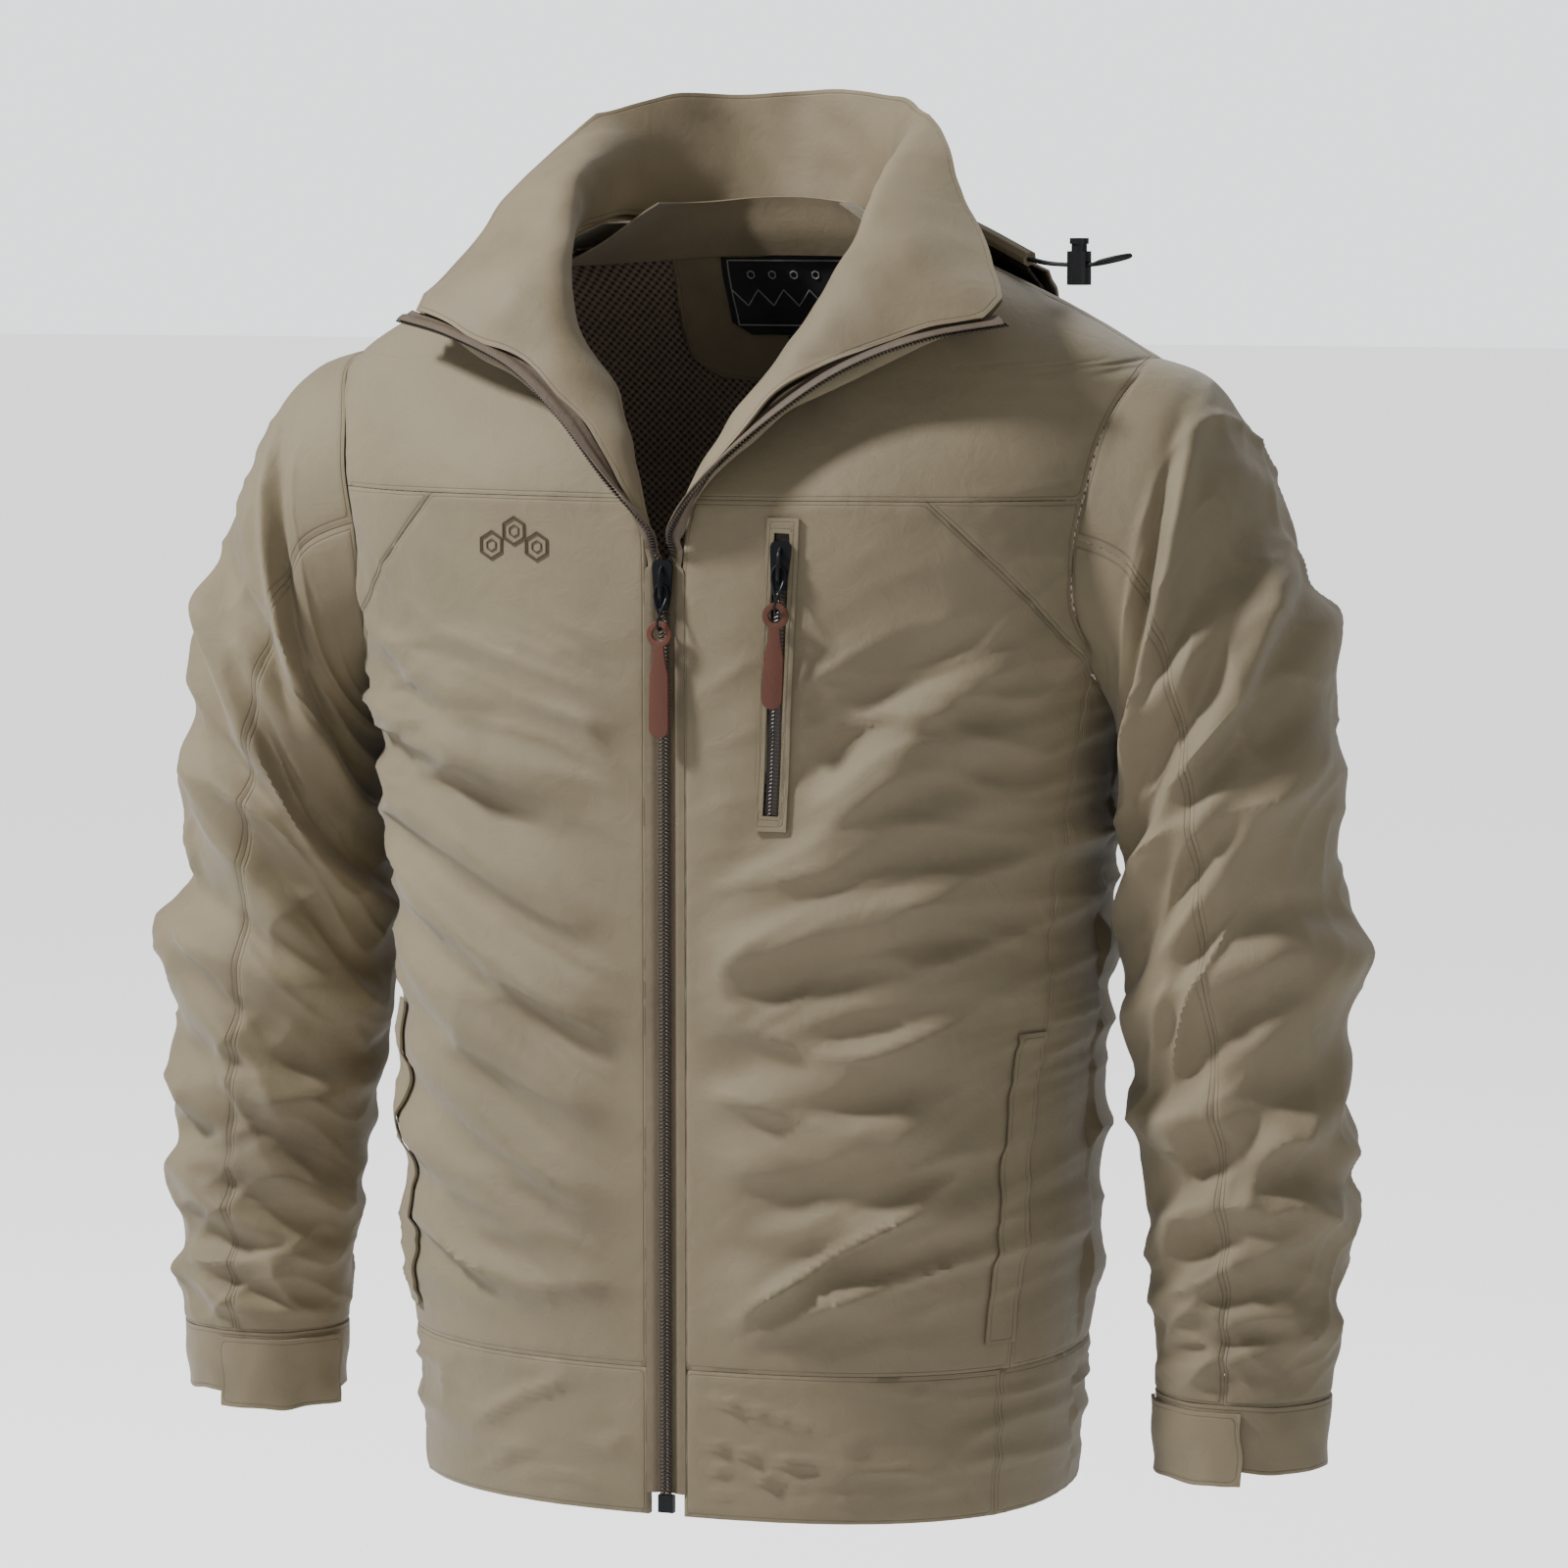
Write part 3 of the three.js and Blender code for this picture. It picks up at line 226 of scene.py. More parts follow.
def sleeve_folds(angle, t, side):
    """Height of the folds over a sleeve; side is 1 on the wearer's left and -1 on the right."""
    seed = 40 if side > 0 else 60
    along = t * SLEEVE_LENGTH
    cx, cy = np.cos(angle), np.sin(angle)
    lean = 30 * np.sin(angle * 1.0 + (0.7 if side > 0 else 2.4))
    wobble = lattice(cx * 0.9 + 9, cy * 0.9 + along / 130, seed + 4) * 0.7
    first = lattice(cx * 0.8 + cy * 0.4 + 3, (along + lean) / 52 + wobble, seed)
    second = lattice(cx * 0.9 - cy * 1.1 + 8, (along - lean) / 37 - wobble, seed + 1)
    broad = np.clip(1 - np.abs(first) * 2.0, 0, 1) ** 1.4
    small = np.clip(1 - np.abs(second) * 2.2, 0, 1) ** 1.6
    height = broad * 5.5 + small * 2.6 - 3
    for middle, down, slope, reach, width, high_end in SLEEVE_FOLDS:
        centre = math.radians(middle + (0 if side > 0 else 14))
        turn = (angle - centre + math.pi) % (2 * math.pi) - math.pi
        round_arm = turn * 62
        shift = 0 if side > 0 else 11
        d = (along - down - shift - slope * round_arm + 6 * wobble) / width
        fade = np.exp(-((round_arm / reach) ** 4))
        crest = np.where(d < 0, np.exp(-((d / 0.75) ** 2)), np.exp(-((d / 1.2) ** 2)))
        height = height + high_end * fade * (crest - 0.55 * np.exp(-(((d + 1.5) / 0.8) ** 2)))
    fade = ramp(along, 25, 130) * (1 - ramp(along, SLEEVE_LENGTH - 25, SLEEVE_LENGTH) * 0.8)
    inner_side = 0.62 + 0.38 * ramp(cx, -1.0, -0.2)
    return (0.66 + 0.26 * np.abs(np.sin(angle))) * (height - 1.2) * fade * inner_side


# %% [markdown]
# The torso is a stack of level rings, squarer than an ellipse, whose widths and depths come from the
# table of stations. A sleeve is a row of slanted rings from the armhole to the wrist. Both are written
# as a formula of two numbers, round and along, so any fold can be added along the outward direction.


# %% Surfaces
def torso(angle, z):
    """Point of the torso at an angle from the front centre (towards the left arm) and a height."""
    width, front, back = look_up(STATION_GRID, STATION_SIZES, z)
    s, c = np.sin(angle), np.cos(angle)
    depth = np.where(c > 0, front, back)
    n = SQUARENESS
    reach = (np.abs(s / width) ** n + np.abs(c / depth) ** n) ** (-1 / n)
    return np.stack([reach * s, -reach * c, z + 0 * angle], -1)


def angle_at_y(y, z):
    width, front, back = look_up(STATION_GRID, STATION_SIZES, z)
    depth = np.where(y < 0, front, back)
    x = width * (1 - np.clip(np.abs(y / depth), 0, 1) ** SQUARENESS) ** (1 / SQUARENESS)
    return np.arctan2(x, -y)


def normals(surface, u, v, du, dv):
    a = surface(u + du, v) - surface(u - du, v)
    b = surface(u, v + dv) - surface(u, v - dv)
    n = np.cross(a, b)
    return n / np.linalg.norm(n, axis=-1, keepdims=True)


def flat_ring(angle, t):
    inner_x, inner_z, outer_x, outer_z, depth, y = look_up(RING_GRID, RING_SIZES, t * 9)
    share = (1 + np.cos(angle)) / 2
    x = inner_x + (outer_x - inner_x) * share
    z = inner_z + (outer_z - inner_z) * share
    return np.stack([x, y - np.sin(angle) * depth, z], -1)


def sleeve(angle, t):
    p = flat_ring(angle, t)
    start = flat_ring(angle, t * 0)
    on_torso = torso(angle_at_y(start[..., 1], start[..., 2]), start[..., 2])
    fade = np.clip(1 - t * 9, 0, 1) ** 2
    p[..., 0] += (on_torso[..., 0] + 0.6 - start[..., 0]) * fade
    return p


def sleeve_cloth(angle, t, side):
    """The sleeve with its folds, on the wearer's left for both sides."""
    p = sleeve(angle, t)
    n = normals(sleeve, angle, t, 0.02, 0.01)
    return p + n * sleeve_folds(angle, t, side)[..., None]


# %% [markdown]
# A cloth piece could be cut from a primitive, but its shape is known as a formula, so its mesh is made
# straight from a grid of points on that surface. Modifiers then give it the thickness of the cloth.


# %% Meshes from surfaces
def place(p):
    """Millimetres above the hem to metres in the frame."""
    return (p - np.array([0, 0, NECK_HEIGHT])) / 1000


def grid_object(name, points, flip=False):
    """A sheet of quads through a grid of points."""
    rows, cols = points.shape[:2]
    co = place(points)
    corner = (np.arange(rows - 1)[:, None] * cols + np.arange(cols - 1)[None]).ravel()
    turn = [0, cols, cols + 1, 1] if flip else [0, 1, cols + 1, cols]
    faces = np.stack([corner + step for step in turn], 1).tolist()
    mesh = bpy.data.meshes.new(name)
    mesh.from_pydata(co.reshape(-1, 3).tolist(), [], faces)
    mesh.shade_smooth()
    obj = bpy.data.objects.new(name, mesh)
    bpy.context.scene.collection.objects.link(obj)
    return obj


def apply_modifiers(obj):
    bpy.ops.object.select_all(action="DESELECT")
    bpy.context.view_layer.objects.active = obj
    obj.select_set(True)
    for modifier in list(obj.modifiers):
        bpy.ops.object.modifier_apply(modifier=modifier.name)
    obj.select_set(False)


def thicken(obj, thickness):
    """Gives a sheet its thickness, inwards from its outer face."""
    solid = obj.modifiers.new("thickness", "SOLIDIFY")
    solid.thickness = thickness / 1000
    solid.offset = -1
    apply_modifiers(obj)


def report(obj):
    print(f"{obj.name}: {len(obj.data.polygons)} faces")


# %% [markdown]
# The camera stands a little to the wearer's left of straight ahead and just above chest height, far
# enough away that the sleeves keep their width.

# %% Camera
TARGET = Vector((0.0165, 0.0055, -0.309))
AZIMUTH, ELEVATION, DISTANCE = math.radians(20), math.radians(6), 3.1
VIEW_HEIGHT = 0.864
toward = Vector((
    math.sin(AZIMUTH) * math.cos(ELEVATION), -math.cos(AZIMUTH) * math.cos(ELEVATION), math.sin(ELEVATION),
))
camera_data = bpy.data.cameras.new("camera")
camera_data.sensor_fit = "HORIZONTAL"
camera_data.angle = 2 * math.atan(VIEW_HEIGHT / 2 / DISTANCE)
camera = bpy.data.objects.new("camera", camera_data)
camera.location = TARGET + toward * DISTANCE
camera.rotation_euler = (-toward).to_track_quat("-Z", "Y").to_euler()
bpy.context.scene.collection.objects.link(camera)
bpy.context.scene.camera = camera
print("camera:", round(DISTANCE, 2), "m away,", round(math.degrees(camera_data.angle), 1), "degrees wide")

# %% [markdown]
# Each flat-cut panel of the jacket exists already as a thin CAD solid. A copy of it is joined into
# quads, its cut edges are creased, and subdivision turns the flat cells into a smooth sheet. Then every
# point moves along the torso's own outward direction by the shared fold height, so two panels that meet
# at a seam, and the pockets, tapes and linings between them, all move together and never part.


# %% Fine copies of CAD pieces
SHARP = 0.45
RIM_LIMIT = 0.005


def link(name, mesh):
    obj = bpy.data.objects.new(name, mesh)
    bpy.context.scene.collection.objects.link(obj)
    return obj


def fine_copy(node, levels):
    """A smooth, fine copy of a CAD piece, with its cut edges kept sharp."""
    obj = link(node + "_fine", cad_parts[node].data.copy())
    bm = bmesh.new()
    bm.from_mesh(obj.data)
    bmesh.ops.remove_doubles(bm, verts=bm.verts, dist=3e-6)
    bmesh.ops.join_triangles(bm, faces=bm.faces, angle_face_threshold=0.6, angle_shape_threshold=1.4)
    crease = bm.edges.layers.float.new("crease_edge")
    for edge in bm.edges:
        thin = any(min(side.calc_length() for side in face.edges) < RIM_LIMIT for face in edge.link_faces)
        if thin and len(edge.link_faces) == 2 and edge.calc_face_angle() > SHARP:
            edge[crease] = 1
    bm.to_mesh(obj.data)
    bm.free()
    subdivision = obj.modifiers.new("smooth", "SUBSURF")
    subdivision.levels = subdivision.render_levels = levels
    apply_modifiers(obj)
    return obj


def coordinates(obj):
    co = np.empty(len(obj.data.vertices) * 3)
    obj.data.vertices.foreach_get("co", co)
    return co.reshape(-1, 3)


def set_coordinates(obj, co):
    obj.data.vertices.foreach_set("co", co.ravel())
    obj.data.update()


def edge_distance(obj):
    """Distance in metres from every point to the nearest cut edge, kept as an attribute."""
    co = coordinates(obj)
    crease = np.empty(len(obj.data.edges))
    obj.data.attributes["crease_edge"].data.foreach_get("value", crease)
    ends = np.empty(len(obj.data.edges) * 2, int)
    obj.data.edges.foreach_get("vertices", ends)
    marked = np.unique(ends.reshape(-1, 2)[crease > 0.5])
    tree = KDTree(len(marked))
    for index, vertex in enumerate(marked):
        tree.insert(co[vertex], index)
    tree.balance()
    distance = np.array([tree.find(p)[2] for p in co])
    layer = obj.data.attributes.new("edge_distance", "FLOAT", "POINT")
    layer.data.foreach_set("value", distance)
    return distance


# %% [markdown]
# Two movements shape the copies. One is the torso's folds, with the cloth drawn in beside each seam and
# puckered there by its thread. The other is a slow unevenness in space, for the layers of the collar.


# %% Moving the cloth
def torso_warp(co, seam=None, hidden=False):
    """Moves points of the torso by the folds, and pulls them in beside a seam; hidden layers keep back."""
    p = co * 1000 + np.array([0, 0, NECK_HEIGHT])
    angle = np.arctan2(p[:, 0], -p[:, 1])
    n = normals(torso, angle, p[:, 2], 0.02, 4.0)
    height = torso_folds(p[:, 0], p[:, 1], p[:, 2])
    if seam is not None:
        d = seam * 1000
        pucker = lattice(p[:, 0] / 9 + p[:, 1] / 9, p[:, 2] / 9, 91)
        height = height - 0.8 * np.exp(-((d / 2.2) ** 2)) + 0.35 * pucker * np.exp(-((d / 9) ** 2))
    if hidden:
        low_part = 1.25 * np.minimum(height, 0) - 3
        height = low_part + (height - low_part) * ramp(p[:, 2], 545, 600)
    return co + n * height[:, None] / 1000


def ruffle(co, size, amount, seed):
    """A gentle unevenness that moves all pieces at one place the same way."""
    p = co * 1000 / size
    dx = lattice(p[:, 1] + p[:, 2] * 0.4, p[:, 2], seed)
    dy = lattice(p[:, 0], p[:, 2] + p[:, 0] * 0.3, seed + 1)
    dz = lattice(p[:, 0] + 3, p[:, 1], seed + 2)
    return co + np.stack([dx, dy, dz], 1) * amount / 1000


def finish_piece(obj, node, body="jacket", angle=40):
    bpy.ops.object.select_all(action="DESELECT")
    bpy.context.view_layer.objects.active = obj
    obj.select_set(True)
    bpy.ops.object.shade_smooth_by_angle(angle=math.radians(angle))
    obj.select_set(False)
    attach(obj, body)
    if node:
        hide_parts(node)
    return obj


pieces = {}


def both(name):
    return [name + "_left", name + "_right"]


# %% [markdown]
# The shell is a set of flat-cut panels. The left front panel has a slot for the chest pocket, and a slot
# upsets the even grid that subdivision needs. So the right panel is mirrored, and the slot opened in it.

# %% Shell panels
SHELL = [
    *both("front_panel"), *both("side_panel"), *both("underarm_gusset"), *both("front_yoke"),
    "back_panel", "back_yoke", *both("hem_front"), "hem_back", *both("hand_welt"), "chest_welt",
]


def left_front_panel():
    """The right panel mirrored, with the chest pocket's slot opened in it."""
    obj = fine_copy("front_panel_right", 3)
    obj.name = "front_panel_left_fine"
    set_coordinates(obj, coordinates(obj) * np.array([-1, 1, 1]))
    obj.data.flip_normals()
    bm = bmesh.new()
    bm.from_mesh(obj.data)
    inside = []
    for face in bm.faces:
        centre = face.calc_center_median()
        up = centre.z * 1000 + NECK_HEIGHT
        middle = CHEST_LOW[0] + (up - CHEST_LOW[1]) * CHEST_LEAN
        if abs(centre.x * 1000 - middle) < CHEST_SLOT and CHEST_LOW[1] < up < CHEST_HIGH[1]:
            inside.append(face)
    bmesh.ops.delete(bm, geom=inside, context="FACES")
    bm.to_mesh(obj.data)
    bm.free()
    return obj


for node in SHELL:
    obj = left_front_panel() if node == "front_panel_left" else fine_copy(node, 3)
    distance = edge_distance(obj)
    welt = "welt" in node
    set_coordinates(obj, torso_warp(coordinates(obj), None if welt else distance))
    pieces[node] = finish_piece(obj, node)
print("shell panels:", sum(len(pieces[n].data.polygons) for n in SHELL), "faces")

print("chest slot opened:", CHEST_HIGH[1] - CHEST_LOW[1], "mm long")

# %% [markdown]
# The mesh linings and the pocket bags lie behind the shell. They follow its folds, but where a fold goes
# inwards they keep a few millimetres back, so that no lining comes through the shell.

# %% Linings and pocket bags
INSIDE = [
    *both("lining_front"), "lining_back", "chest_pocket_bag", *both("hand_pocket_bag"), "chest_zip_chain",
]
for node in INSIDE:
    obj = fine_copy(node, 2)
    edge_distance(obj)
    set_coordinates(obj, torso_warp(coordinates(obj), hidden=node != "chest_zip_chain"))
    pieces[node] = finish_piece(obj, node)
print("linings and bags:", sum(len(pieces[n].data.polygons) for n in INSIDE), "faces")

# %% [markdown]
# The collar, its facing and the neck pieces lie in layers of little more than a
# millimetre. The same slow unevenness in space is given to all of them, so the cloth looks soft and
# no layer cuts another.


# %% Collar and neck pieces
COLLAR = ["collar_outer", "collar_facing", "neck_facing", "neck_label", "size_tab"]
for node in COLLAR:
    obj = fine_copy(node, 3)
    edge_distance(obj)
    co = coordinates(obj)
    loose = ramp(co[:, 2] * 1000 + NECK_HEIGHT, ZIP_OPEN + 5, ZIP_OPEN + 60)[:, None]
    co = co + (ruffle(co, 46, 2.4, 7) - co) * loose
    co = co + (ruffle(co, 26, 1.4, 12) - co) * loose
    set_coordinates(obj, co)
    pieces[node] = finish_piece(obj, node)
    report(obj)

# %% [markdown]
# A narrow band of shell cloth is sewn over the neck seam inside, where collar, facing and lining meet.

# %% Neck seam band
BAND_LOW, BAND_WIDTH, BAND_THICKNESS = 676, 30, 0.9
angle, share = np.meshgrid(np.radians(np.linspace(84, 276, 120)), np.linspace(0, 1, 9))
height = BAND_LOW + share * BAND_WIDTH
outward = normals(torso, angle, height, 0.02, 4.0)
band = torso(angle, height) - outward * (11.5 - 4.5 * ramp(share, 0.3, 1.0))[..., None]
obj = grid_object("neck_band", band)
thicken(obj, BAND_THICKNESS)
layer = obj.data.attributes.new("edge_distance", "FLOAT", "POINT")
layer.data.foreach_set("value", np.full(len(obj.data.vertices), NO_SEAM_NEAR))
pieces["neck_band"] = finish_piece(obj, None)
report(obj)

# %% [markdown]
# The hood is rolled up behind the collar. Its soft shell bulges over the yoke and is full of small
# folds, and the open tunnel of its drawcord runs along the rim.

# %% Stowed hood
for node in ["hood_base", "hood_shell", "hood_lining", "hood_tunnel"]:
    obj = fine_copy(node, 3)
    edge_distance(obj)
    co = coordinates(obj)
    free = ramp(np.linalg.norm(co - np.array([0, 0.12, -0.07]), axis=1), 0.2, 0.05)[:, None]
    if node in ("hood_shell", "hood_lining"):
        co = co + (ruffle(co, 26, 3.2, 21) - co) * (0.35 + 0.65 * free)
    set_coordinates(obj, co)
    pieces[node] = finish_piece(obj, node)
    report(obj)

# %% [markdown]
# A sleeve is two long pieces, upper and under, sewn along the front and back of the arm. It is drawn
# afresh over the arm's rings, fine enough for its crushed folds, and given the thickness of the cloth.


# %% Sleeves
ARM_RADIUS = 55


def seam_pull(angle, edges, t):
    """How far the cloth is drawn in beside its seams."""
    lines = sum(np.exp(-(((angle - math.radians(e)) * ARM_RADIUS / 2.2) ** 2)) for e in edges)
    ends = np.exp(-((t * SLEEVE_LENGTH / 2.5) ** 2)) + np.exp(-(((1 - t) * SLEEVE_LENGTH / 3) ** 2))
    return 1.1 * np.minimum(lines + ends, 1)


def make_sleeve(node, start, end, side):
    angle, t = np.meshgrid(np.radians(np.linspace(start + 0.1, end - 0.1, 90)), np.linspace(0, 0.9992, 260))
    p = sleeve_cloth(angle, t, side)
    n = normals(sleeve, angle, t, 0.02, 0.01)
    p = p - n * seam_pull(angle, (start, end), t)[..., None]
    p[..., 0] *= side
    obj = grid_object(node + "_fine", p, flip=side < 0)
    layer = obj.data.attributes.new("edge_distance", "FLOAT", "POINT")
    from_side = np.minimum(angle - math.radians(start), math.radians(end) - angle) * 0.057
    from_end = np.minimum(t, 1 - t) * SLEEVE_LENGTH / 1000
    layer.data.foreach_set("value", np.minimum(from_side, from_end).ravel())
    thicken(obj, CLOTH)
    pieces[node] = finish_piece(obj, node)


for side, word in ((1, "left"), (-1, "right")):
    make_sleeve("sleeve_upper_" + word, -90, 90, side)
    make_sleeve("sleeve_under_" + word, 90, 270, side)

# %% [markdown]
# Each cuff is a stiff band with a tab that closes over it. The tab turns on its own sewn end, so it rides
# on its own body, and both get the same slight unevenness, which keeps them lying on each other.

# %% Cuffs and tabs
for word in ("left", "right"):
    for node, body in (("cuff_" + word, "jacket"), ("cuff_tab_" + word, "cuff_tab_" + word)):
        obj = fine_copy(node, 4 if "tab" not in node else 3)
        edge_distance(obj)
        co = coordinates(obj)
        top = (1 - ramp(co[:, 2] * 1000 + NECK_HEIGHT, 45, 66))[:, None]
        co = co + (ruffle(co, 22, 1.6, 51) - co) * (0.3 + 0.7 * top)
        set_coordinates(obj, co)
        pieces[node] = finish_piece(obj, node, body)
arms = [piece for node, piece in pieces.items() if node.startswith(("sleeve", "cuff"))]
print("sleeves and cuffs:", sum(len(piece.data.polygons) for piece in arms), "faces")

# %% [markdown]
# Nylon coil teeth are short loops of thick thread that lean across the tape, close together. Below the
# slider the two rows mesh into one ribbon. Above it each row follows its own edge of the open collar.
# One loop is a small rounded bar, and a row is that bar again and again along the path of the chain.

# %% Repeated shapes
COIL_PITCH = 2.0
COIL_LEAN = 0.3
COIL_INSET, COIL_LIFT = 1.65, 0.1
TAPE_STEP = 3.0
TAPE_THICKNESS = 0.7


def bar(half_length, radius, sides=6):
    """Points and faces of one bar with rounded ends, lying along X."""
    stations = [(-1, 0.35), (-0.85, 1), (0.85, 1), (1, 0.35)]
    points = []
    for along, size in stations:
        for k in range(sides):
            a = 2 * math.pi * k / sides
            points.append((along * half_length, size * radius * math.cos(a), size * radius * math.sin(a)))
    faces = []
    for ring in range(len(stations) - 1):
        for k in range(sides):
            m = (k + 1) % sides
            faces.append((ring * sides + k, ring * sides + m, (ring + 1) * sides + m, (ring + 1) * sides + k))
    faces.append(tuple(range(sides))[::-1])
    faces.append(tuple(range((len(stations) - 1) * sides, len(stations) * sides)))
    return np.array(points), faces


def repeated(name, frames, shape):
    """One mesh made of a shape repeated; each frame is a centre and three directions."""
    points, faces = shape
    co, all_faces = [], []
    for centre, x, y, z in frames:
        base = len(co) * len(points)
        co.append(centre + points @ np.array([x, y, z]))
        all_faces += [tuple(base + k for k in face) for face in faces]
    mesh = bpy.data.meshes.new(name)
    mesh.from_pydata(np.vstack(co).tolist(), [], all_faces)
    mesh.shade_smooth()
    return link(name, mesh)


def unit(v):
    return v / np.linalg.norm(v)


# %% [markdown]
# The chain's path and the edge of the cloth beside it are two lists of points, given from the
# hem up to the collar's corner. Smooth curves through them give, at each step, the place of a tooth and
# the directions across the tape, out of the cloth and along the chain.

# %% Path of the zip
# Cloth edge and middle of the chain from the hem to the collar corner, left side, mm above the hem
CLOTH_EDGE = np.array([
    (10, -134, 12), (10, -134, 110), (10, -134, 210), (10, -134, 310), (10, -134, 410), (10, -133.9, 500),
    (10, -134, 516), (11, -137, 526), (26, -141, 556), (55, -128, 591), (88, -114, 616), (128, -103, 632),
    (171, -79, 641),
], float)
CHAIN = np.array([
    (0.15, -134, 12), (0.15, -134, 110), (0.15, -134, 210), (0.15, -134, 310), (0.15, -134, 410),
    (0.15, -133.9, 500), (3.6, -134.5, 516), (5.5, -143, 529), (28, -150, 555), (62, -134, 588),
    (95, -119, 612), (135, -108, 628), (176, -85, 636),
], float)


def smooth_line(points, where):
    """Points of a smooth curve (Catmull-Rom) at whole or part steps along its list."""
    last = len(points) - 1
    padded = np.vstack([2 * points[0] - points[1], points, 2 * points[-1] - points[-2]])
    k = np.clip(np.floor(where).astype(int), 0, last - 1)
    t = (where - k)[:, None]
    a, b, c, d = (padded[k + step] for step in range(4))
    return 0.5 * (2 * b + (c - a) * t + (2 * a - 5 * b + 4 * c - d) * t**2 + (3 * b - a - 3 * c + d) * t**3)


def zip_frames(side, pitch):
    """Centres along the coil a pitch apart, with the directions across, outward and along."""
    fine = np.linspace(0, 12, 4000)
    chain = smooth_line(CHAIN, fine)
    edge = smooth_line(CLOTH_EDGE, fine)
    length = np.concatenate([[0], np.cumsum(np.linalg.norm(np.diff(chain, axis=0), axis=1))])
    count = int(length[-1] / pitch)
    where = np.interp(np.arange(count) * pitch, length, fine)
    chain = np.stack([np.interp(where, fine, c) for c in chain.T], 1)
    edge = np.stack([np.interp(where, fine, c) for c in edge.T], 1)
    along = np.gradient(chain, axis=0)
    along /= np.linalg.norm(along, axis=1, keepdims=True)
    across = chain - edge
    across -= along * (across * along).sum(1, keepdims=True)
    width = np.linalg.norm(across, axis=1, keepdims=True)
    across /= width
    outward = np.cross(along, across)
    mirror = np.array([side, 1, 1])
    return chain * mirror, across * mirror, outward * mirror, along * mirror, width[:, 0]


# %% [markdown]
# Each row of teeth is one mesh. Its tape is a strip from the cloth's edge to behind the teeth, in two
# lengths: shell cloth shows beside the closed chain, and bare brown tape along the open collar.


# %% Coils and tapes
def coil(node):
    side = 1 if node.endswith("left") else -1
    chain, across, outward, along, _ = zip_frames(side, COIL_PITCH)
    frames = []
    for p, a, o, t in zip(chain, across, outward, along):
        centre = place(p - a * COIL_INSET + o * COIL_LIFT)
        leaning = unit(a + COIL_LEAN * t)
        frames.append((centre, leaning, o, unit(np.cross(leaning, o))))
    obj = repeated(node + "_loops", frames, bar(0.0017, 0.00076))
    return finish_piece(obj, node, angle=60)


def tape(node, first, last, name):
    """A length of tape from the cloth edge to behind the coil."""
    side = 1 if node.endswith("left") else -1
    chain, across, outward, _, width = zip_frames(side, TAPE_STEP)
    keep = (chain[:, 2] >= first) & (chain[:, 2] <= last)
    chain, across, outward, width = chain[keep], across[keep], outward[keep], width[keep]
    rows = []
    for share in np.linspace(1.12, 0.0, 9):
        dip = 0.2 + 1.6 * ramp(1 - share, 0.25, 0.6)
        rows.append(chain - across * (width[:, None] * share) - outward * dip)
    points = np.stack(rows, 1)
    obj = grid_object(name, points, flip=side > 0)
    thicken(obj, TAPE_THICKNESS)
    distance = obj.data.attributes.new("edge_distance", "FLOAT", "POINT")
    distance.data.foreach_set("value", np.full(len(obj.data.vertices), NO_SEAM_NEAR))
    return obj


for node in both("zip_coil"):
    pieces[node] = coil(node)
    report(pieces[node])
for node in both("zip_tape"):
    pieces[node] = finish_piece(tape(node, 0, ZIP_OPEN - 4, node + "_lower"), node)
    pieces[node + "_upper"] = finish_piece(tape(node, ZIP_OPEN - 7, NECK_HEIGHT, node + "_upper"), node)

# %% [markdown]
# Small decorations are sewn with raised thread: a plain emblem of three hexagons on the chest, and on
# the neck label a border with a zigzag under a row of dots. Each line is drawn flat, dropped onto the
# cloth from outside, and given the thickness of the thread.


# %% Thread work
def tube_mesh(name, lines, radius, sides=6, up=(0.02, 1, 0.03)):
    """One mesh of round threads along polylines in metres."""
    points, faces = [], []
    for line in lines:
        tangent = np.gradient(line, axis=0)
        tangent /= np.linalg.norm(tangent, axis=1, keepdims=True) + 1e-12
        first = np.cross(tangent, up)
        first /= np.linalg.norm(first, axis=1, keepdims=True)
        second = np.cross(tangent, first)
        base = len(points)
        for p, a, b in zip(line, first, second):
            for k in range(sides):
                turn = 2 * math.pi * k / sides
                points.append(p + radius * (math.cos(turn) * a + math.sin(turn) * b))
        for j in range(len(line) - 1):
            for k in range(sides):
                m = (k + 1) % sides
                faces.append((base + j * sides + k, base + j * sides + m,
                              base + (j + 1) * sides + m, base + (j + 1) * sides + k))
        faces.append(tuple(base + k for k in range(sides))[::-1])
        faces.append(tuple(base + (len(line) - 1) * sides + k for k in range(sides)))
    mesh = bpy.data.meshes.new(name)
    mesh.from_pydata([tuple(p) for p in points], [], faces)
    mesh.shade_smooth()
    return link(name, mesh)


def drop(points, targets, lift, start=-0.4):
    """Flat X, Z points dropped along +Y onto the first cloth they meet, and lifted a little off it."""
    trees = [BVHTree.FromPolygons([v.co for v in t.data.vertices], [p.vertices for p in t.data.polygons])
             for t in targets]
    result = []
    for x, z in points:
        hits = [tree.ray_cast(Vector((x, start, z)), Vector((0, 1, 0))) for tree in trees]
        depths = [hit[0].y for hit in hits if hit[0] is not None]
        if depths:
            result.append((x, min(depths) - lift, z))
    return np.array(result)


def dense(corners, step, close=False):
    corners = np.array(corners + ([corners[0]] if close else []), float)
    parts = []
    for a, b in zip(corners, corners[1:]):
        count = max(1, int(np.linalg.norm(b - a) / step))
        parts.append(a + (b - a) * (np.arange(count) / count)[:, None])
    return np.vstack([*parts, corners[-1:]])


def hexagon(x, z, radius):
    turns = [k * math.pi / 3 for k in range(6)]
    return [(x + radius * math.sin(turn), z + radius * math.cos(turn)) for turn in turns]


# %% [markdown]
# The emblem's hexagons have a double outline and a small one inside, like cells of a comb.

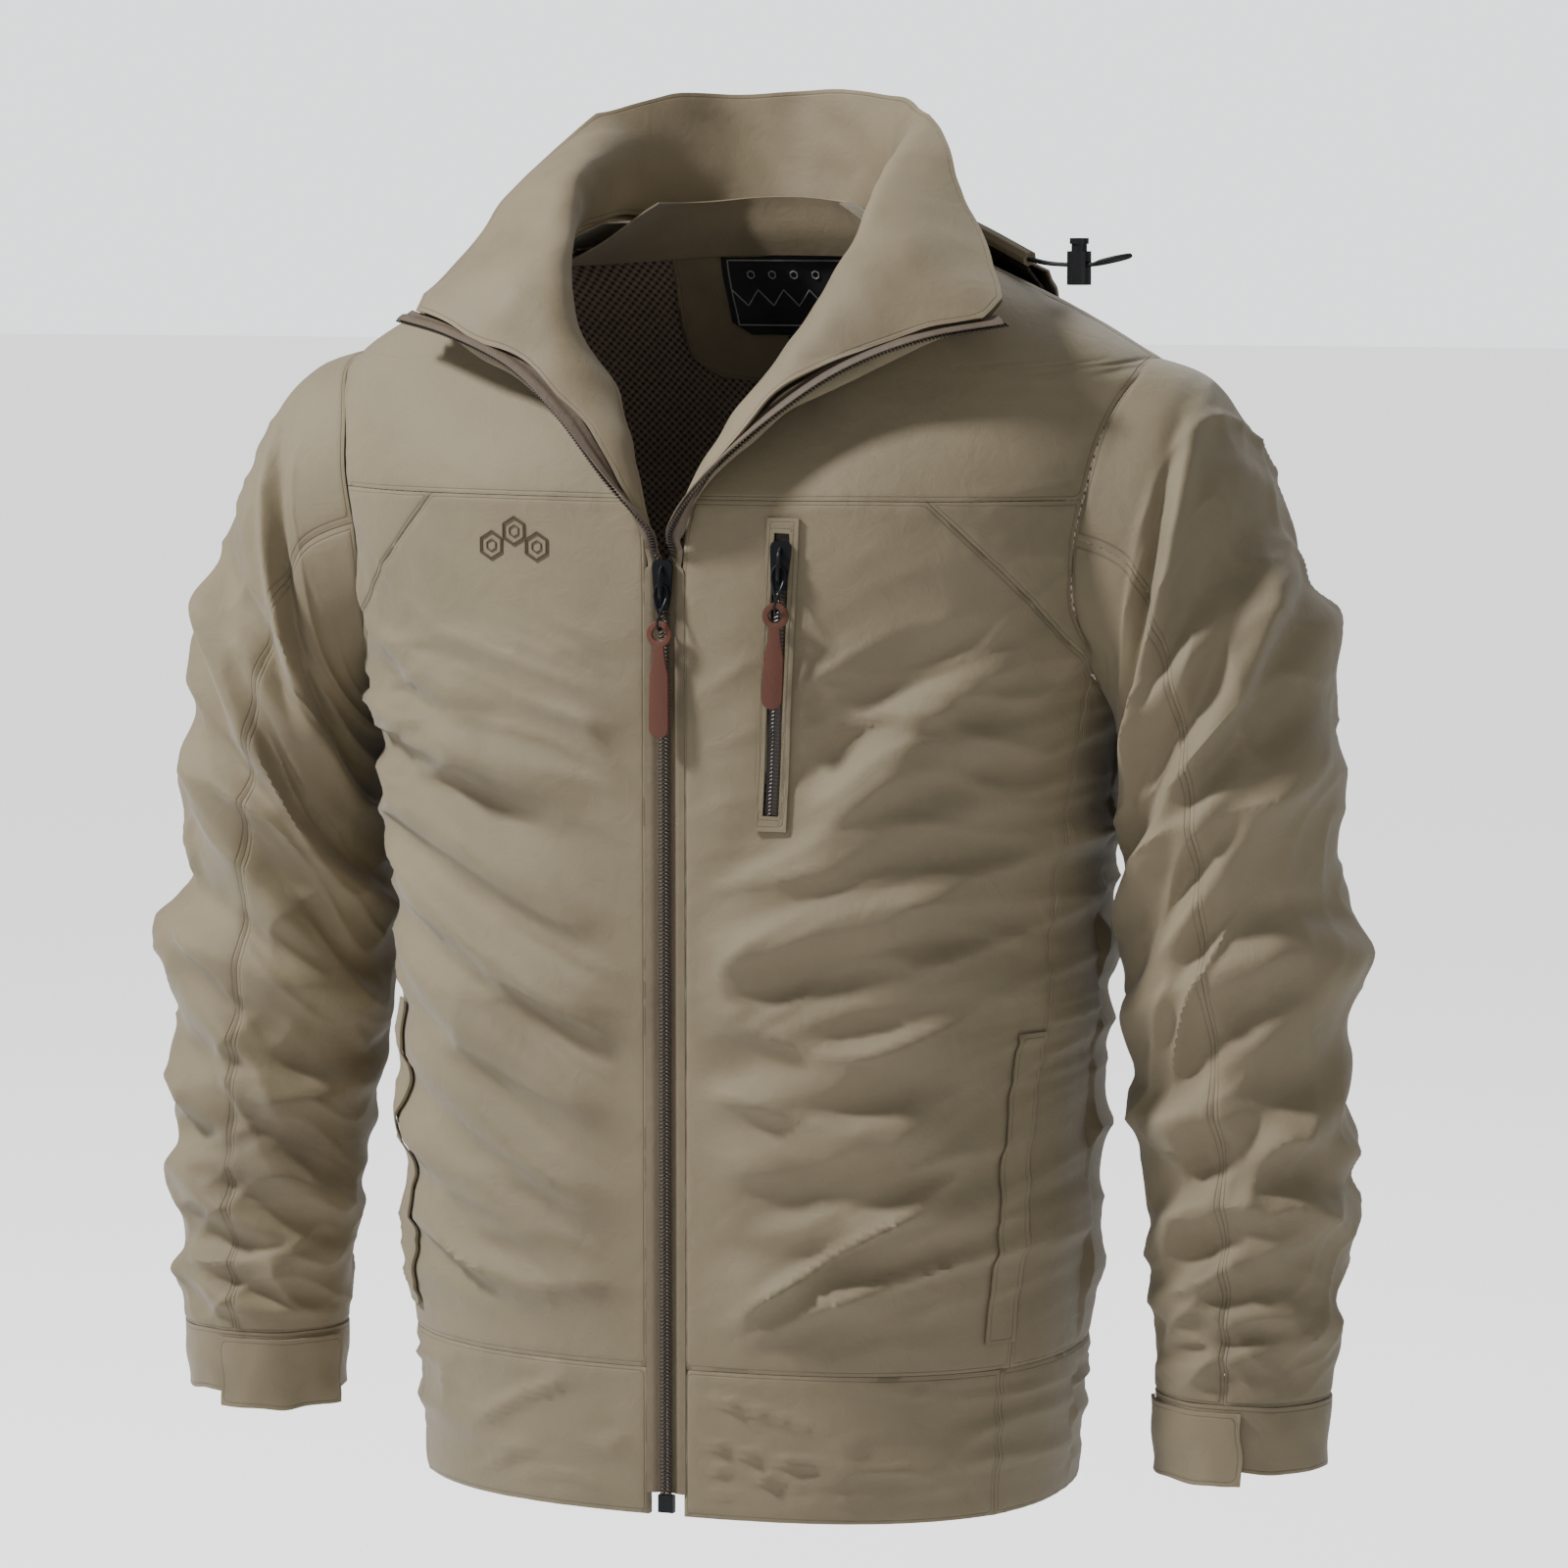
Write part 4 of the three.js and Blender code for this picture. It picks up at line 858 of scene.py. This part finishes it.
# %% Chest emblem
EMBLEM_X, EMBLEM_Z, EMBLEM_CELL = -0.088, -0.172, 0.0078
EMBLEM_THREAD = 0.00042
cloth_here = [pieces["front_panel_right"], pieces["front_yoke_right"]]
lines = []
for column, shift in ((-1, 0), (0, 1), (1, 0)):
    x = EMBLEM_X + column * EMBLEM_CELL * 1.78
    z = EMBLEM_Z + shift * EMBLEM_CELL * 1.02
    for radius in (EMBLEM_CELL, EMBLEM_CELL * 0.86, EMBLEM_CELL * 0.4):
        lines.append(drop(dense(hexagon(x, z, radius), 0.0012, True), cloth_here, 0.0003))
emblem = finish_piece(tube_mesh("emblem", lines, EMBLEM_THREAD), None)
pieces["emblem"] = emblem
report(emblem)

# %% [markdown]
# The chest zip is the same coil, smaller, lying in its slot. Its loops are dropped onto the chain's flat
# base from in front, a little sunk in, so that they follow the folds of the pocket.

# %% Chest coil
CHEST_ROW = 1.55
chain_height = np.arange(374, 524, COIL_PITCH)
chain_x = CHEST_LOW[0] + CHEST_LEAN * (chain_height - CHEST_LOW[1])
frames = []
for word, side in (("left", 1), ("right", -1)):
    flat = np.stack([(chain_x + side * CHEST_ROW) / 1000, (chain_height - NECK_HEIGHT) / 1000], 1)
    for p in drop(flat, [pieces["chest_zip_chain"]], -0.0003):
        leaning = unit(np.array([1, 0, -COIL_LEAN * side]))
        frames.append((p, leaning, np.array([0, -1.0, 0]), unit(np.cross(leaning, [0, -1.0, 0]))))
pieces["chest_coil"] = finish_piece(repeated("chest_coil", frames, bar(0.0015, 0.0006)), None)
report(pieces["chest_coil"])

# %% [markdown]
# The label is woven satin with a pale pattern. The pattern is plain: a border, a zigzag and five dots.

# %% Label pattern
label_low, label_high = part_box("neck_label")
LABEL_MARGIN, LABEL_THREAD = 0.004, 0.00035
x0, x1 = label_low[0] + LABEL_MARGIN, label_high[0] - LABEL_MARGIN
z0, z1 = label_low[2] + LABEL_MARGIN, label_high[2] - LABEL_MARGIN
zigzag = [(x0 + (x1 - x0) * k / 10, z0 + (z1 - z0) * (0.3 if k % 2 else 0.55)) for k in range(11)]
flat = [dense([(x0, z0), (x1, z0), (x1, z1), (x0, z1)], 0.0015, True), dense(zigzag, 0.0015)]
for k in range(5):
    dot = hexagon(x0 + (x1 - x0) * (k + 1) / 6, z0 + (z1 - z0) * 0.78, 0.0022)
    flat.append(dense(dot, 0.001, True))
lines = [drop(points, [pieces["neck_label"]], 0.0002, -0.02) for points in flat]
pieces["label_pattern"] = finish_piece(tube_mesh("label_pattern", lines, LABEL_THREAD), None)
report(pieces["label_pattern"])

# %% [markdown]
# The pulls are cut from thick leather and their edges are worn round. They keep the CAD outline, and a
# bevel rounds every edge off. The loose triangles are merged first, or the bevel would see no edges.

# %% Leather pulls
EDGE_ROUNDING = 0.0006
for node in ("zip_leather_pull", "chest_leather_pull"):
    obj = link(node + "_fine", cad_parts[node].data.copy())
    bm = bmesh.new()
    bm.from_mesh(obj.data)
    bmesh.ops.remove_doubles(bm, verts=bm.verts, dist=3e-6)
    bmesh.ops.dissolve_limit(bm, angle_limit=0.05, verts=bm.verts, edges=bm.edges)
    bm.to_mesh(obj.data)
    bm.free()
    round_off = obj.modifiers.new("round", "BEVEL")
    round_off.width = EDGE_ROUNDING
    round_off.segments = 3
    round_off.limit_method = "ANGLE"
    round_off.angle_limit = math.radians(40)
    apply_modifiers(obj)
    pieces[node] = finish_piece(obj, node, node, 30)
    report(obj)

# %% [markdown]
# The drawcord of the hood leaves its tunnel, passes down through the spring lock and returns to the
# tunnel in one loop. It is a round tube along a smooth curve through the same points as the
# CAD tube, so that curve is the centre of the cord.

# %% Drawcord
CORD_DIAMETER = 0.0022
CORD_POINTS = np.array([
    (0.1564, 0.0117, -0.0206), (0.1665, 0.0064, -0.0224), (0.1776, 0.0018, -0.0232),
    (0.1873, -0.0006, -0.023), (0.1961, -0.0028, -0.023), (0.2062, 0.0004, -0.021),
    (0.2146, -0.0027, -0.019), (0.2171, -0.0095, -0.018), (0.2117, -0.0144, -0.019),
    (0.2028, -0.0131, -0.021), (0.1954, -0.0055, -0.023), (0.1867, -0.0034, -0.023),
    (0.177, -0.0009, -0.0232), (0.1654, 0.0035, -0.0224), (0.1551, 0.0094, -0.0206),
])
CORD_STEP = 0.0015
spans = np.linalg.norm(np.diff(CORD_POINTS, axis=0), axis=1)
counts = [max(2, int(span / CORD_STEP)) for span in spans]
where = [start + np.arange(count) / count for start, count in enumerate(counts)]
line = smooth_line(CORD_POINTS, np.concatenate([*where, [len(spans)]]))
cord = tube_mesh("drawcord_line", [line], CORD_DIAMETER / 2, 12, up=(0.02, 0.03, 1))
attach(cord, "jacket")
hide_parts("drawcord")
pieces["drawcord"] = cord

# %% [markdown]
# Pressing the lock's button squeezes the steel spring under it. A copy of the spring, with its own
# mesh, takes the place of the CAD spring.

# %% Lock spring
spring = link("spring_wire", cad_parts["cord_lock_spring"].data.copy())
finish_piece(spring, "cord_lock_spring")
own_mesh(spring)
pieces["cord_lock_spring"] = spring

# %% [markdown]
# Materials are built from nodes. A few short helpers make a node, set its values and link it, so that
# each material below reads as one line. Colours are given as on a colour card and turned scene-linear.


# %% Node helpers
def linear(code):
    """Scene-linear colour of a hexadecimal sRGB one."""
    parts = [int(code[i:i + 2], 16) / 255 for i in (0, 2, 4)]
    return tuple(c / 12.92 if c <= 0.04045 else ((c + 0.055) / 1.055) ** 2.4 for c in parts) + (1,)


def new_group(name, outputs):
    group = bpy.data.node_groups.new(name, "ShaderNodeTree")
    for socket, kind in outputs:
        group.interface.new_socket(socket, in_out="OUTPUT", socket_type=kind)
    return group, group.nodes.new("NodeGroupOutput")


def add_node(tree, kind, **values):
    node = tree.nodes.new("ShaderNode" + kind)
    for key, value in values.items():
        if hasattr(node, key):
            setattr(node, key, value)
        else:
            node.inputs[key.replace("_", " ")].default_value = value
    return node


def math_node(tree, operation, first, second=None, third=None):
    node = tree.nodes.new("ShaderNodeMath")
    node.operation = operation
    for socket, value in zip(node.inputs, (first, second, third)):
        if value is None:
            continue
        if isinstance(value, (int, float)):
            socket.default_value = value
        else:
            tree.links.new(value, socket)
    return node.outputs[0]


def ramp_node(tree, source, stops):
    node = tree.nodes.new("ShaderNodeValToRGB")
    while len(node.color_ramp.elements) < len(stops):
        node.color_ramp.elements.new(0.5)
    for element, (where, code) in zip(node.color_ramp.elements, stops):
        element.position = where
        element.color = linear(code)
    tree.links.new(source, node.inputs[0])
    return node.outputs[0]


# %% [markdown]
# The shell is thin crisp nylon: a matt khaki with a fine weave, a faint crinkle and a sunk stitched line
# beside each seam, whose colour is darkened with painted shade in that groove. The stitched line reads the
# distance to the cut edge that every fine piece carries. All patterns use Object coordinates, so they keep
# their size.


# %% Woven cloth
def cloth_effects(name, stops, thread, crinkle, stitch_lines=(0.0022,)):
    """Colour, roughness and bump height of a woven cloth, with painted shade along the sunk stitch lines."""
    tree, out = new_group(name, [("Color", "NodeSocketColor"), ("Roughness", "NodeSocketFloat"),
                                 ("Height", "NodeSocketFloat")])
    place_node = add_node(tree, "TexCoord").outputs["Object"]
    broad = add_node(tree, "TexNoise", Scale=9.0, Detail=3.0)
    fold = add_node(tree, "TexNoise", Scale=crinkle, Detail=5.0, Roughness=0.62, Distortion=0.6)
    grain = add_node(tree, "TexNoise", Scale=1500.0, Detail=1.0)
    for node in (broad, fold, grain):
        tree.links.new(place_node, node.inputs["Vector"])
    weave = []
    for bands in ("X", "Z"):
        wave = add_node(tree, "TexWave", Scale=thread, Distortion=0.4, bands_direction=bands)
        tree.links.new(place_node, wave.inputs["Vector"])
        weave.append(wave.outputs["Fac"])
    threads = math_node(tree, "MULTIPLY", weave[0], weave[1])
    mix_fac = math_node(tree, "MULTIPLY_ADD", broad.outputs["Fac"], 0.7, 0.0)
    mix_fac = math_node(tree, "MULTIPLY_ADD", fold.outputs["Fac"], 0.25, mix_fac)
    mix_fac = math_node(tree, "MULTIPLY_ADD", grain.outputs["Fac"], 0.06, mix_fac)
    edge = add_node(tree, "Attribute", attribute_name="edge_distance").outputs["Fac"]
    groove = None
    for line in stitch_lines:
        off = math_node(tree, "ABSOLUTE", math_node(tree, "SUBTRACT", edge, line))
        pulse = math_node(tree, "SUBTRACT", 1.0, math_node(tree, "DIVIDE", off, 0.0006))
        pulse = math_node(tree, "MAXIMUM", pulse, 0.0)
        groove = pulse if groove is None else math_node(tree, "ADD", groove, pulse)
    # painted shade: the colour is darkened along the sunk stitch groove
    mix_fac = math_node(tree, "MULTIPLY_ADD", groove, -0.22, mix_fac)
    tree.links.new(ramp_node(tree, mix_fac, stops), out.inputs["Color"])
    rough = math_node(tree, "MULTIPLY_ADD", fold.outputs["Fac"], 0.2, 0.52)
    tree.links.new(rough, out.inputs["Roughness"])
    height = math_node(tree, "MULTIPLY_ADD", threads, 0.06, fold.outputs["Fac"])
    height = math_node(tree, "MULTIPLY_ADD", groove, -0.35, height)
    tree.links.new(height, out.inputs["Height"])
    return tree


def surface_material(name, group=None, bump=0.001, strength=0.5, **sockets):
    """A Principled material whose colour, roughness and bump come from a group where it has them."""
    material = bpy.data.materials.new(name)
    material.use_nodes = True
    tree = material.node_tree
    shader = tree.nodes["Principled BSDF"]
    for key, value in sockets.items():
        shader.inputs[key.replace("_", " ")].default_value = value
    if group:
        effects = tree.nodes.new("ShaderNodeGroup")
        effects.node_tree = group
        for output, target in (("Color", "Base Color"), ("Roughness", "Roughness")):
            if output in effects.outputs:
                tree.links.new(effects.outputs[output], shader.inputs[target])
        bump_node = tree.nodes.new("ShaderNodeBump")
        bump_node.inputs["Distance"].default_value = bump
        bump_node.inputs["Strength"].default_value = strength
        tree.links.new(effects.outputs["Height"], bump_node.inputs["Height"])
        tree.links.new(bump_node.outputs["Normal"], shader.inputs["Normal"])
    return material


# %% [markdown]
# The linings are knitted mesh. Real holes would take millions of faces, so two crossed waves sink them
# a little and paint them dark, as painted shade of the inside seen through them, which reads as an open
# knit at any distance a jacket is seen from.


# %% Knitted mesh
def mesh_effects(name, stops, pitch):
    """Colour and bump height of a knitted mesh: round holes in rows, each row half a step on, painted dark as
    the shade seen through them.
    """
    tree, out = new_group(name, [("Color", "NodeSocketColor"), ("Height", "NodeSocketFloat")])
    place_node = add_node(tree, "TexCoord").outputs["Object"]
    split = tree.nodes.new("ShaderNodeSeparateXYZ")
    tree.links.new(place_node, split.inputs[0])
    step = 2 * math.pi / pitch
    across = math_node(tree, "SINE", math_node(tree, "MULTIPLY", split.outputs["X"], step))
    down = math_node(tree, "SINE", math_node(tree, "MULTIPLY", split.outputs["Z"], step))
    holes = math_node(tree, "MULTIPLY_ADD", math_node(tree, "MULTIPLY", across, down), 0.5, 0.5)
    broad = add_node(tree, "TexNoise", Scale=14.0, Detail=3.0)
    tree.links.new(place_node, broad.inputs["Vector"])
    # painted shade: the holes are darkened for the shaded inside seen through them
    depth = math_node(tree, "MULTIPLY", holes, 0.75)
    shade = math_node(tree, "MULTIPLY_ADD", broad.outputs["Fac"], 0.3, depth)
    tree.links.new(ramp_node(tree, shade, stops), out.inputs["Color"])
    tree.links.new(math_node(tree, "MULTIPLY", holes, -1.0), out.inputs["Height"])
    return tree


# %% [markdown]
# Each finish of the real jacket is one material: shell, inner shell, zip tape, placket, two meshes,
# label, leather, nylon coil, black plastic, dark metal, cord, spring steel and two threads.

# %% The materials
KHAKI = [(0.2, "6B5F49"), (0.42, "83765B"), (0.7, "908266")]
INNER_KHAKI = [(0.2, "6C5F49"), (0.45, "84765B"), (0.7, "918367")]
BROWN_LEATHER = [(0.2, "4A281B"), (0.5, "643827"), (0.8, "7A4731")]
khaki = cloth_effects("khaki_effects", KHAKI, 1100, 60)
shell_cloth = surface_material(
    "shell_cloth", khaki, 0.0011, 0.75, Sheen_Weight=0.25, Sheen_Roughness=0.5,
)
inner = cloth_effects("inner_effects", INNER_KHAKI, 1100, 52, (0.0025,))
inner_cloth = surface_material("inner_cloth", inner, 0.001, 0.6, Sheen_Weight=0.2)
tape = cloth_effects("tape_effects", [(0.2, "453B32"), (0.5, "66584A"), (0.8, "7C6C5A")], 900, 200, (0.003,))
tape_cloth = surface_material("tape_cloth", tape, 0.0006, 0.9)
placket = cloth_effects("placket_effects", [(0.2, "5F5341"), (0.45, "766953"), (0.7, "84775F")], 1000, 90)
placket_cloth = surface_material("placket_cloth", placket, 0.001, 0.7)
# the darkest stop of each mesh is the painted shade inside its holes
lining = mesh_effects("lining_effects", [(0.1, "A08F7D"), (0.55, "7E6E60"), (0.85, "2A2420")], 0.0046)
lining_cloth = surface_material("mesh_lining", lining, 0.0004, 0.6, Roughness=0.9)
hood = mesh_effects("hood_effects", [(0.1, "4C3D31"), (0.6, "382C24"), (0.85, "17120F")], 0.0038)
hood_cloth = surface_material("dark_mesh", hood, 0.0004, 0.6, Roughness=0.9)
black_weave = cloth_effects("label_effects", [(0.2, "141416"), (0.7, "26262A")], 1400, 90, (0.0012,))
label_cloth = surface_material("label_weave", black_weave, 0.0003, 0.5)
hide = cloth_effects("leather_effects", BROWN_LEATHER, 300, 420, (0.0014,))
leather = surface_material("leather", hide, 0.0005, 0.5, Coat_Weight=0.1)
coil_nylon = surface_material("zip_coil", Base_Color=linear("372E27"), Roughness=0.4)
black_plastic = surface_material("black_trim", Base_Color=linear("17171A"), Roughness=0.38)
gunmetal = surface_material("slider_metal", Base_Color=linear("232427"), Metallic=0.6, Roughness=0.36)
cord_nylon = surface_material("cord", Base_Color=linear("19191B"), Roughness=0.7)
spring_steel = surface_material("spring_steel", Base_Color=linear("B8BAC0"), Metallic=1.0, Roughness=0.28)
thread = surface_material("thread", Base_Color=linear("5A4F3C"), Roughness=0.5)
pale_thread = surface_material("pale_thread", Base_Color=linear("A9A9A4"), Roughness=0.6)

# %% [markdown]
# Every piece takes the first finish whose name it starts with. Each row's last entry is a slot name.
# The CAD pieces that keep their own mesh, such as the sliders, only change material.

# %% Which piece has which finish
FINISH = [
    (("emblem",), thread, "shell_cloth"),
    (("label_pattern",), pale_thread, "label_weave"),
    (("neck_label", "size_tab"), label_cloth, "label_weave"),
    (("neck_facing", "neck_band"), inner_cloth, "shell_cloth"),
    (("collar_facing",), inner_cloth, "shell_cloth"),
    (("hood_lining", "hood_base"), hood_cloth, "dark_mesh"),
    (("lining", "hand_pocket_bag", "chest_pocket_bag"), lining_cloth, "mesh_lining"),
    (("zip_tape_left_upper", "zip_tape_right_upper"), tape_cloth, "zip_coil"),
    (("zip_tape",), placket_cloth, "zip_coil"),
    (("zip_coil", "chest_coil", "chest_zip_chain"), coil_nylon, "zip_coil"),
    (("zip_leather", "chest_leather"), leather, "leather"),
    (("drawcord",), cord_nylon, "cord"),
    (("cord_lock_spring",), spring_steel, "spring_steel"),
    (("cord_lock",), black_plastic, "black_trim"),
    (("zip_slider", "zip_puller", "chest_slider", "chest_puller", "zip_box"), gunmetal, "slider_metal"),
    (("",), shell_cloth, "shell_cloth"),
]


def finish_of(name):
    return next((material, slot) for starts, material, slot in FINISH if name.startswith(starts))


for name in [*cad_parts, *(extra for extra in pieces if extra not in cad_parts)]:
    material, slot = finish_of(name)
    shown = pieces.get(name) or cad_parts[name]
    shown.data.materials.clear()
    shown.data.materials.append(material)
    if name in pieces:
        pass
    else:
        print("kept as it is:", name)

# %% [markdown]
# A wide pale floor lies below the hem and a pale sky goes round. One soft light from the upper left
# draws the folds, a weaker one from the right fills them, and the world adds the rest.


# %% Floor and light
FLOOR = -0.9
bpy.ops.mesh.primitive_plane_add(size=60, location=(0, 0, FLOOR))
floor = bpy.context.object
floor.name = "floor"
floor_paint = surface_material(
    "floor", Base_Color=(0.9, 0.9, 0.9, 1), Roughness=0.9, Emission_Color=(1, 1, 1, 1),
)
ray = floor_paint.node_tree.nodes.new("ShaderNodeLightPath")
glow = math_node(floor_paint.node_tree, "MULTIPLY", ray.outputs["Is Camera Ray"], 1.3)
floor_shader = floor_paint.node_tree.nodes["Principled BSDF"]
floor_paint.node_tree.links.new(glow, floor_shader.inputs["Emission Strength"])
floor.data.materials.append(floor_paint)


def area_light(name, place_at, aim, size, watts):
    data = bpy.data.lights.new(name, "AREA")
    data.shape = "DISK"
    data.size = size
    data.energy = watts
    obj = bpy.data.objects.new(name, data)
    obj.location = place_at
    obj.rotation_euler = (Vector(aim) - Vector(place_at)).to_track_quat("-Z", "Y").to_euler()
    bpy.context.scene.collection.objects.link(obj)
    return obj


MIDDLE = (0, 0, -0.3)
area_light("key", (-1.7, -1.15, 1.75), MIDDLE, 0.4, 105)
area_light("fill", (1.9, -1.9, 0.3), MIDDLE, 1.6, 6)
area_light("back", (0.4, 1.6, 1.4), MIDDLE, 1.4, 14)
world = bpy.data.worlds.new("world")
bpy.context.scene.world = world
world.use_nodes = True
background = world.node_tree.nodes["Background"]
background.inputs["Color"].default_value = (0.95, 0.97, 1, 1)
ray = world.node_tree.nodes.new("ShaderNodeLightPath")
seen = math_node(world.node_tree, "MULTIPLY_ADD", ray.outputs["Is Camera Ray"], 1.6, 0.3)
world.node_tree.links.new(seen, background.inputs["Strength"])
print("lights:", [light.name for light in bpy.data.lights])
